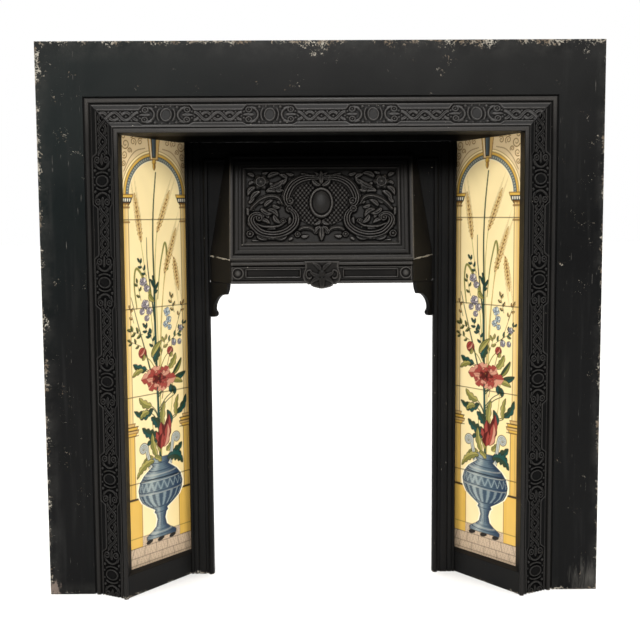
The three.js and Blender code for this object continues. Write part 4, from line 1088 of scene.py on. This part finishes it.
# the niche: cream ground, spandrels, a round arch in rings by the distance from its opening, a keystone, two
# pilasters on pedestals and a pavement
def paintNiche(p):
    at, x, y = p.window(*panelBox)
    p.rgb[:] = inks["cream"]
    p.lay(at, 0.55 * ease(260, 640, y) * ease(60, 150, x), "warm")
    p.lay(at, 0.35 * ease(420, 40, y) * 0.4, "warm")
    # spandrels with scrollwork, listed by place, size and first angle
    spring, opening = 112, 61
    far = np.hypot(x - panelMiddle, y - spring) - opening
    p.lay(at, ease(17.5, 18.5, far) * (y < spring), "tan")
    a = np.linspace(0, 2.7 * math.pi, 16)
    for out, down, size, first in ((66, 25, 9, 0.4), (48, 21, 7, 2.4), (32, 20, 6, 4.0), (69, 43, 6.5, 1.0),
                                   (57, 36, 5, 2.6), (71, 57, 5, 0.5), (70, 12, 6, 3.4), (52, 8, 6, 1.4)):
        r = size * (1 - a / a[-1] * 0.8)
        curl = np.column_stack([out + r * np.cos(a + first), down + r * np.sin(a + first)])
        p.pair(p.stroke, curl, 0.85, 0.6, "husk")
    p.pair(p.stroke, [(21, 31), (42, 36), (58, 50), (71, 71)], 0.8, 0.8, "brown", 0.8)
    p.pair(p.stroke, [(18, 14), (44, 14)], 0.8, 0.8, "brown", 0.7)

    # share of a ring between two distances from the opening
    def ring(inner, outer):
        within = ease(inner - 0.5, inner + 0.5, far) * (1 - ease(outer - 0.5, outer + 0.5, far))
        return within * (y < spring + 1)

    turn = np.degrees(np.arctan2(spring - y, x - panelMiddle))
    beads = np.abs((turn / 4.4) % 1 - 0.5) < 0.25
    for inner, outer, share, colour in (
            (12.5, 17, 1, "cream"), (7, 12.5, 1, "ochre"), (10.4, 12, 0.7, "straw"), (0.6, 7, 1, "ringBlue"),
            (1.8, 5.6, 0.6 * beads, "ringPale"), (-1.4, 0.2, 0.8, "halo"), (-0.3, 1.0, 0.85, "line"),
            (6.1, 7.4, 0.85, "line"), (11.7, 13, 0.85, "husk"), (16.3, 17.6, 0.85, "husk")):
        p.lay(at, share * ring(inner, outer), colour)
    # keystone with a slate stripe and a turned pendant
    p.area([(60, 2), (92, 2), (85, 50), (67, 50)], "straw", 1, "husk")
    p.stroke([(65, 3), (70.4, 48)], 0.8, 0.8, "halo", 0.8)
    p.area([(70, 2), (82, 2), (80, 46), (72, 46)], "keystone", 1, "line")
    p.area([(72.6, 5), (75.6, 5), (75.2, 44), (73.6, 44)], "slate", 0.8)
    p.spot((76, 54), 4.6, "ochre", "husk", "husk")
    p.leaf((76, 56), (76, 68), 0, 2.8, "husk", "ochre", 0, "husk")
    # capital with dentils, pilaster, pedestal cornice and the two blocks under it
    p.block(51, 78, 110, 115.5, 2, "ochre", 1, "brown")
    p.block(54, 78, 115.5, 123.5, 3, "keystone", 1, "line")
    for k in range(4):
        p.block(57.5 + 5 * k, 60.5 + 5 * k, 117, 122, 1, "halo", 0.85)
    p.block(58, 78, 123.5, 129, 4.5, "brown", 1, "line")
    p.block(63, 75.4, 127, 506, 0, "straw", 0.65, "brown", 0.3)
    p.pair(p.stroke, [(66, 128), (66, 505)], 1.1, 1.1, "warm", 0.85)
    p.pair(p.stroke, [(72.5, 128), (72.5, 505)], 1.5, 1.5, "ochre", 0.7)
    for level in (132, 157):
        p.pair(p.stroke, [(61, level), (76.2, level)], 1.8, 1.8, "brown", 0.85)
    for level, inner, colour in ((505, 58, "straw"), (511, 52, "ochre"), (517, 50, "straw"), (522, 55, "ochre")):
        p.block(inner, 78, level, level + 5.5, 2, colour, 1, "brown")
    for level in (511, 517, 527):
        p.pair(p.stroke, [(51, level), (78, level)], 0.9, 0.9, "line", 0.85)
    p.block(60, 74.5, 527.5, 638, 0, "ochre", 0.85, "brown")
    p.pair(p.stroke, [(63.5, 530), (63.5, 636)], 1.6, 1.6, "yellow", 0.9)
    p.pair(p.stroke, [(70.5, 530), (70.5, 636)], 1.2, 1.2, "brown", 0.35)
    p.block(46, 75, 641, 727, 0, "yellow", 1, "brown")
    p.block(46, 53, 641, 727, 0, "ochre", 0.55)
    p.pair(p.stroke, [(44, 639.5), (77, 639.5)], 1.5, 1.5, "line", 0.95)
    # pavement in staggered slabs, kept off the blocks
    out = np.abs(x - panelMiddle)
    pavement = ease(708, 710, y) * ~((out > 46) & (out < 75) & (y < 727))
    p.lay(at, pavement, "stone")
    for row, level in enumerate((709, 727, 744, 757)):
        p.stroke([(0, level), (153, level)], 0.7, 0.7, "line", 0.6)
        for k in range(7 if row < 3 else 0):
            slab = (k - 3 + 0.5 * (row % 2)) * (24 + 2.5 * row)
            if row > 0 or abs(slab) <= 45:
                joint = [(panelMiddle + slab, level), (panelMiddle + slab * 1.09, level + 15)]
                p.stroke(joint, 0.7, 0.7, "line", 0.55)
    worn = np.sin(x * 0.9 + np.sin(y * 0.7) * 2) * np.sin(y * 1.1 + x * 0.15) > 0.35
    p.lay(at, 0.42 * pavement * worn, "stoneLine")


# the urn: a turned outline from half widths at heights, shaded across, with bands that bow with the belly
def paintUrn(p):
    heights = [575, 579, 584, 588, 594, 601, 612, 626, 639, 650, 658, 664, 668, 672, 676, 686, 698, 704, 709, 713,
               719]
    halves = [21, 24, 22, 18, 28, 39, 49, 53.5, 51, 44, 32, 21, 13.5, 16, 11.5, 8.6, 12, 20, 30, 36, 35]
    middle = 76.5
    # handles: scrolls rising from the shoulder
    for side, top, far in ((-1, 554, 40), (1, 545, 41)):
        a = np.linspace(0, 3.1 * math.pi, 16)
        rr = 8.5 * (1 - a / a[-1] * 0.8)
        curl = np.column_stack([middle + side * (far - rr * np.cos(a)), top - rr * np.sin(a)])
        run = np.vstack([[(middle + side * 24, 592), (middle + side * 27, 576), (middle + side * 31, top + 8)], curl])
        p.stroke(run, 4.6, 2.4, "line")
        p.stroke(run, 3.3, 1.2, "pearl")
        p.stroke(run, 0.9, 0.5, "slate", 0.8)
    at, x, y = p.window((middle - 58, 568), (middle + 58, 726))
    half = np.interp(y, heights, halves)
    side = (x - middle) / half
    gap = half - np.abs(x - middle)
    body = ease(-0.5, 0.6, gap) * ease(574, 575, y) * (1 - ease(718, 719, y))
    p.lay(at, ease(-4.6, -3.4, gap) * ease(584, 592, y) * (1 - ease(696, 704, y)), "halo")
    p.lay(at, ease(-2.1, -0.5, gap) * ease(573, 574.4, y) * (1 - ease(719, 720.6, y)), "line")
    p.lay(at, body, "slate")
    p.lay(at, body * 0.6 * np.exp(-((side + 0.45) / 0.24) ** 2), "mist")
    p.lay(at, body * 0.95 * ease(0.1, 0.9, side), "night")
    p.lay(at, body * 0.65 * ease(-0.65, -1.0, side), "night")
    # bands curve down with the belly
    bow = y - 5.5 * np.sqrt(np.clip(1 - side ** 2, 0, 1))
    for level, thick, colour, share in (
            (582, 0.9, "night", 0.9), (596, 1.1, "night", 0.9), (602, 0.8, "pearl", 0.7), (609, 1.2, "night", 0.95),
            (613, 0.8, "pearl", 0.6), (632, 1.2, "night", 0.95), (635.5, 0.8, "pearl", 0.6),
            (661, 1.4, "night", 0.9), (671, 1.0, "night", 0.9), (703, 0.8, "night", 0.8),
            (707.5, 0.9, "pearl", 0.6), (711.5, 0.9, "night", 0.9)):
        p.lay(at, body * share * np.exp(-((bow + 2.5 - level) / thick) ** 2), colour)
    p.lay(at, body * 0.4 * (np.sin(bow * 1.9) > 0.3) * ease(-0.3, 0.7, side), "night")
    p.lay(at, body * 0.3 * (np.sin(bow * 1.9) < -0.3) * ease(0.1, -0.5, side), "pearl")
    wave = np.abs((np.arcsin(np.clip(side, -1, 1)) * 6.5) % 2 - 1)
    zig = np.abs((bow + 2.5 - 615) / 15 - wave)
    belt = body * (bow + 2.5 > 615) * (bow + 2.5 < 630)
    p.lay(at, belt * 0.6 * (1 - ease(0.08, 0.17, zig)), "mist")
    p.lay(at, belt * 0.55 * (zig > 0.45), "night")
    flute = 0.5 + 0.5 * np.cos(np.arcsin(np.clip(side, -1, 1)) * 17)
    bowl = body * (bow > 634) * (bow < 657)
    p.lay(at, bowl * 0.7 * (flute > 0.62), "night")
    p.lay(at, bowl * 0.4 * (flute < 0.25), "mist")
    p.lay(at, body * 0.5 * (flute > 0.7) * (y > 677) * (y < 700), "night")
    # shadowed feet on the pavement
    for foot in (-30, -2, 27):
        p.leaf((middle + foot - 8, 724), (middle + foot + 8, 721), 0, 2.6, "line", "line", 0, "line")


# stems, wheat, blossoms, leaves and two red blooms, laid from the back to the front
def paintFlowers(p):
    # long stems and blades from the urn's mouth
    for stem in (
            ([(78, 575), (75, 500), (73, 430), (72, 380), (71, 320), (70, 250), (69, 190), (72, 130), (79, 72)], 2.8,
             1.3, "pine"),
            ([(76, 570), (73, 470), (70, 380), (69, 300), (69, 258)], 2.2, 1.1, "teal"),
            ([(80, 570), (80, 470), (78, 400), (76, 330), (73, 250), (76, 200), (80, 172)], 1.2, 0.6, "moss"),
            ([(82, 420), (86, 340), (92, 280), (97, 240)], 1.1, 0.6, "moss"),
            ([(79, 430), (84, 340), (95, 262), (106, 226), (114, 216), (120, 224)], 0.8, 0.6, "wheat"),
            ([(70, 400), (62, 325), (52, 258), (40, 188)], 1.0, 0.6, "moss"),
            ([(70, 330), (62, 280), (55, 230), (54, 184)], 1.9, 0.6, "pine"),
            ([(60, 426), (48, 388), (32, 340), (15, 286)], 1.9, 0.7, "pine"),
            ([(84, 470), (96, 420), (112, 372), (134, 318)], 0.9, 0.5, "brown"),
            ([(72, 420), (58, 400), (44, 390)], 1.0, 0.8, "olive"),
            ([(80, 418), (92, 398), (103, 388)], 1.0, 0.8, "olive"),
            ([(80, 560), (104, 500), (110, 460), (112, 430)], 0.8, 0.6, "moss"),
            ([(72, 560), (62, 530), (58, 500)], 1.0, 0.7, "olive")):
        p.stroke(*stem)
    p.stroke([(78, 292), (84, 244), (92, 210), (98, 194), (102, 206), (103, 240)], 1.0, 2.6, "olive")
    p.stroke([(28, 306), (23, 266), (27, 238), (38, 244), (54, 270), (63, 288)], 1.2, 3.2, "olive")
    p.leaf((56, 284), (70, 296), 1, 4.2, "olive", "moss")
    for start, end in (((70, 272), (60, 256)), ((71, 270), (66, 250)), ((70, 276), (80, 262)),
                       ((69, 280), (78, 276))):
        p.leaf(start, end, 1, 2.2, "teal", "pine")
    for ear in (((25, 88), (41, 190), 10), ((120, 84), (80, 174), 9), ((134, 150), (96, 246), 10),
                ((133, 296), (120, 222), 8)):
        p.ear(*ear)
    # violet and blue flowers with small leaves
    for at, radius, turn in (((44, 260), 9, 0.2), ((52, 272), 7.5, 0.9), ((48, 300), 10, 0.5), ((57, 312), 8, 0.1),
                             ((40, 312), 6.5, 1.1), ((51, 324), 6.5, 0.4)):
        p.blossom(at, radius, 5, "violet", "lilac", "line", 0.9, turn)
    for at, radius, turn in (((100, 316), 8.5, 0.4), ((104, 330), 7, 1.0), ((96, 338), 6.5, 0.2),
                             ((106, 344), 5.5, 0.7)):
        p.blossom(at, radius, 4, "blue", "sky", "night", 1.0, turn)
    for sprig in (
            ((52, 250), (36, 226), 4, 9, "pine", "teal"), ((38, 292), (30, 262), 3, 9, "pine", "olive"),
            ((40, 352), (14, 344), 4, 11, "pine", "olive"), ((60, 360), (46, 340), 4, 10, "teal", "pine"),
            ((118, 318), (110, 290), 4, 9, "pine", "straw"), ((100, 372), (128, 356), 4, 10, "teal", "olive"),
            ((126, 352), (142, 340), 3, 8, "pine", "teal"), ((66, 380), (60, 352), 3, 10, "teal", "pine"),
            ((128, 330), (140, 304), 3, 8, "brown", "straw"), ((36, 372), (12, 362), 3, 9, "pine", "olive"),
            ((84, 392), (94, 366), 3, 11, "moss", "olive"), ((20, 330), (12, 306), 2, 8, "brown", "straw")):
        p.sprig(*sprig)
    for at, radius in (((116, 372), 4.5), ((130, 372), 3.6), ((134, 348), 4)):
        p.blossom(at, radius + 2, 5, "violet", "sky", "line")
    # leaves about the blooms and the urn's mouth
    for leaf in (
            ((66, 402), (78, 374), 2, 7.5, "teal", "pine", 3), ((48, 414), (16, 402), -3, 7, "pine", "teal", 3),
            ((40, 414), (14, 424), 3, 5, "olive", "moss", 3), ((60, 392), (86, 366), -2, 5, "olive", "moss", 0),
            ((102, 418), (120, 392), 3, 6.5, "olive", "moss", 3),
            ((112, 430), (134, 402), 2, 4.5, "pine", "olive", 0),
            ((116, 436), (144, 428), 2, 5, "pine", "teal", 0), ((110, 440), (136, 446), -2, 4.5, "moss", "olive", 0),
            ((108, 462), (104, 446), 1, 5.5, "teal", "pine", 0), ((116, 466), (112, 450), 1, 4.2, "pine", "teal", 0),
            ((62, 486), (16, 484), -9, 8.5, "teal", "pine", 4), ((58, 480), (28, 462), -4, 7, "olive", "moss", 3),
            ((52, 490), (30, 500), 4, 6, "olive", "moss", 3), ((120, 502), (144, 470), 5, 6.5, "pine", "teal", 3),
            ((118, 506), (124, 468), -3, 5, "moss", "olive", 3), ((84, 520), (90, 476), -3, 6.5, "olive", "moss", 3),
            ((104, 520), (96, 492), 2, 6, "pine", "teal", 0), ((72, 520), (56, 500), 3, 7.5, "teal", "pine", 3),
            ((72, 532), (34, 516), -5, 8.5, "teal", "pine", 4), ((70, 544), (44, 548), 3, 6, "teal", "pine", 3),
            ((68, 572), (58, 528), -3, 6.5, "olive", "moss", 3), ((76, 566), (70, 530), 2, 5, "moss", "olive", 2),
            ((60, 572), (34, 580), 3, 5, "moss", "olive", 3),
            ((94, 576), (134, 594), -9, 11, "teal", "pine", 5), ((104, 574), (132, 556), 3, 7.5, "pine", "teal", 3),
            ((92, 566), (106, 552), 1, 5, "olive", "moss", 2)):
        x, y = leaf[0]
        if y < 560:
            p.stroke([(x, y), (0.5 * x + 38.5, y + 9), (76, y + 26)], 0.8, 1.0, "pine")
        p.leaf(*leaf)
    # round buds
    for at, radius in (((39, 384), 9.5), ((106, 386), 7.5)):
        p.spot(at, radius, "red", "wine", "wine")
        p.leaf((at[0] - radius * 0.7, at[1] + 4), (at[0] + radius * 0.5, at[1] - radius * 0.9), 2, radius * 0.35,
               "red", "blush", 0, "wine")
        p.leaf((at[0], at[1] + radius + 4), (at[0] + 4, at[1] + 2), 1, 3, "olive", "moss")
    # large bloom: two rings of broad ruffled petals, wider than high, dark at the heart
    for count, wide, high, half, dark, light, turn in ((6, 43, 22, 15.0, "red", "blush", 0.1),
                                                       (5, 30, 15, 12.0, "blush", "red", 0.75),
                                                       (5, 18, 9.5, 7.0, "wine", "red", 0.1)):
        for k in range(count):
            a = turn + 2 * math.pi * k / count
            out, down = wide * math.cos(a), high * math.sin(a)
            p.leaf((77 + 0.1 * out, 433 + 0.1 * down), (77 + out, 433 + down), 2, half, dark, light, 3, "wine", 0.4,
                   1.3)
    for k in range(13):
        a = k * 2 * math.pi / 13
        p.stroke([(77 + 7 * math.cos(a), 432 + 4 * math.sin(a)),
                  (77 + 26 * math.cos(a + 0.2), 432 + 12 * math.sin(a + 0.2))], 0.9, 0.3, "wine", 0.55)
    p.spot((77, 431), 5.5, "wine", "line")
    p.spot((76, 429), 1.8, "husk")
    # lower bloom, half shut and leaning
    for leaf in (
            ((80, 556), (68, 528), 3, 10, "red", "wine"), ((88, 556), (104, 522), -4, 11, "red", "wine"),
            ((82, 556), (100, 500), 4, 10, "wine", "red"), ((82, 554), (80, 512), 2, 10, "red", "wine"),
            ((86, 558), (96, 516), 3, 8, "red", "blush"), ((78, 560), (84, 532), -2, 8, "wine", "red")):
        p.leaf(*leaf, 2, "wine", 0.55)


# the finished panel on a grid of columns and rows
def paintPanel(xs, ys):
    p = Panel(xs, ys)
    paintNiche(p)
    paintFlowers(p)
    paintUrn(p)
    for leaf in (
            ((62, 578), (19, 604), 7, 7, "olive", "moss", 5), ((94, 578), (134, 594), -9, 10, "teal", "pine", 5),
            ((80, 582), (62, 572), 2, 5, "moss", "olive", 2)):
        p.leaf(*leaf)
    # faint crazing and soot in the glaze
    at, x, y = p.window(*panelBox)
    mottle = np.sin(x * 0.11 + 1.3 * np.sin(y * 0.043)) * np.sin(y * 0.087 + 1.7 * np.sin(x * 0.06))
    p.rgb[at] *= (1 + 0.02 * mottle)[..., None]
    return p.rgb


tileCount = int(tile["size"] / tile["step"])
across = np.linspace(0, tile["size"], tileCount + 1)
gridA, gridB = np.meshgrid(across, across)
rim = np.minimum(np.minimum(gridA, tile["size"] - gridA), np.minimum(gridB, tile["size"] - gridB))
dip = tile["edge"] * (1 - np.sqrt(np.clip(1 - (1 - np.clip(rim / tile["edge"], 0, 1)) ** 2, 0, 1)))
ringIndex = np.arange((tileCount + 1) ** 2).reshape(tileCount + 1, -1)
border = np.concatenate([ringIndex[0, :-1], ringIndex[:-1, -1], ringIndex[-1, :0:-1], ringIndex[:0:-1, 0]])
panelRows = np.concatenate([across + tile["pitch"] * n for n in range(tile["count"])])
picture = paintPanel(across, panelRows).reshape(-1, tileCount + 1, tileCount + 1, 3)
# glaze thins and collects dirt at each tile's edge
picture = picture * (1 - tile["jointDirt"] * (1 - ease(0, tile["jointReach"], rim)))[None, ..., None]
for word, side in (("left", -1), ("right", 1)):
    for number in range(1, tile["count"] + 1):
        low = tile["base"] + (tile["count"] - number) * tile["pitch"]
        along = gridA + tile["start"]
        x, y = cheekPoint(along, dip)
        face = np.stack([side * x, y, low + gridB], -1).reshape(-1, 3)
        backX, backY = cheekPoint(along, tile["thick"])
        back = np.stack([side * backX, backY, low + gridB], -1).reshape(-1, 3)[border]
        points = np.vstack([face, back])
        first = len(face) + np.arange(len(border))
        sides = np.stack([border, np.roll(border, -1), np.roll(first, -1), first], -1)
        quads = np.vstack([gridQuads(tileCount + 1, tileCount + 1), sides[:, ::-1]])
        shown = picture[number - 1, ::-1]
        shown = shown if side < 0 else shown[:, ::-1]
        if number == 1:  # soot from the fire and painted shade in the inner top corner
            shown = shown * (1 - tile["sootAndShade"] * ease(50, 150, gridA) * ease(50, 130, gridB))[..., None]
        colour = np.vstack([shown.reshape(-1, 3), np.tile(linear(glazeLook["biscuit"]), (len(border), 1))])
        makePiece("pictureTile_" + word + "_" + str(number), points, quads, glaze,
                  "tile_" + word + "_" + str(number), [first[::-1].tolist()],
                  (-side * tile["facing"][0], -tile["facing"][1], 0), 50,
                  values={"bare": np.arange(len(points)) >= len(face)}, colours={"picture": colour})
print("tiles made")

# Camera, floor and light
view = {"at": (-26.18, -1862.87, 662.90), "yaw": 0.66827, "pitch": 5.67953, "roll": -0.34739, "lens": 61.72}
camera = bpy.data.objects.new("camera", bpy.data.cameras.new("camera"))
bpy.context.scene.collection.objects.link(camera)
yaw, pitch, roll = (math.radians(view[k]) for k in ("yaw", "pitch", "roll"))
ahead = np.array([math.sin(yaw) * math.cos(pitch), math.cos(yaw) * math.cos(pitch), -math.sin(pitch)])
level = np.array([math.cos(yaw), -math.sin(yaw), 0])
rise = np.cross(level, ahead)
right = math.cos(roll) * level + math.sin(roll) * rise
up = -math.sin(roll) * level + math.cos(roll) * rise
stand = (np.array(view["at"]) + (0, depthShift, 0)) / 1000
camera.matrix_world = Matrix([*np.column_stack([right, up, -ahead, stand]).tolist(), (0, 0, 0, 1)])
camera.data.lens = view["lens"]
camera.data.sensor_width = 36
camera.data.clip_end = 60
bpy.context.scene.camera = camera

floorMesh = bpy.data.meshes.new("floor")
floorMesh.from_pydata([(-15, -10, 0), (15, -10, 0), (15, 20, 0), (-15, 20, 0)], [], [(0, 1, 2, 3)])
floor = bpy.data.objects.new("floor", floorMesh)
bpy.context.scene.collection.objects.link(floor)
# Pale floor: matt paint without shine, so that only a soft shadow shows
pale = bpy.data.materials.new("paleFloor")
pale.use_nodes = True
for socket, value in (("Base Color", rgba("#f4f3f1")), ("Roughness", 0.9), ("Specular IOR Level", 0.0)):
    pale.node_tree.nodes["Principled BSDF"].inputs[socket].default_value = value
floorMesh.materials.append(pale)

# white studio behind the piece, dimmer in front so the black iron keeps its depth
world = bpy.data.worlds.new("studio")
bpy.context.scene.world = world
world.use_nodes = True
sky = world.node_tree
sky.nodes["Background"].inputs["Color"].default_value = rgba("#ffffff")
facing = addNode(sky, "SeparateXYZ", None, {"Vector": (addNode(sky, "TexCoord"), "Generated")})
glow = addNode(sky, "MapRange", span(-0.1, 0.4, 0.3, 1.0), {"Value": (facing, "Y")})
sky.links.new(outputOf(glow), sky.nodes["Background"].inputs["Strength"])


# a large soft lamp aimed at a point
def softLamp(name, at, aim, size, power):
    lamp = bpy.data.lights.new(name, "AREA")
    lamp.size = size
    lamp.energy = power
    made = bpy.data.objects.new(name, lamp)
    bpy.context.scene.collection.objects.link(made)
    made.location = at
    made.rotation_euler = (Vector(aim) - Vector(at)).to_track_quat("-Z", "Y").to_euler()


softLamp("keyLamp", (-0.15, -2.3, 2.3), (0, 0, 0.5), 0.8, 46)
softLamp("leftLamp", (-2.2, -1.5, 1.1), (0.3, 0, 0.45), 1.0, 8.5)
softLamp("rightLamp", (2.2, -1.5, 1.1), (-0.3, 0, 0.45), 1.0, 8.5)
# broad even light from above, leaning a little from the front
overhead = {"energy": 2.6, "spread": 50, "lean": 12}
ceiling = bpy.data.lights.new("ceilingLight", "SUN")
ceiling.energy = overhead["energy"]
ceiling.angle = math.radians(overhead["spread"])
ceilingObject = bpy.data.objects.new("ceilingLight", ceiling)
bpy.context.scene.collection.objects.link(ceilingObject)
ceilingObject.rotation_euler = (math.radians(overhead["lean"]), 0, 0)
bpy.context.scene.view_settings.view_transform = "Standard"
print("camera and light made")
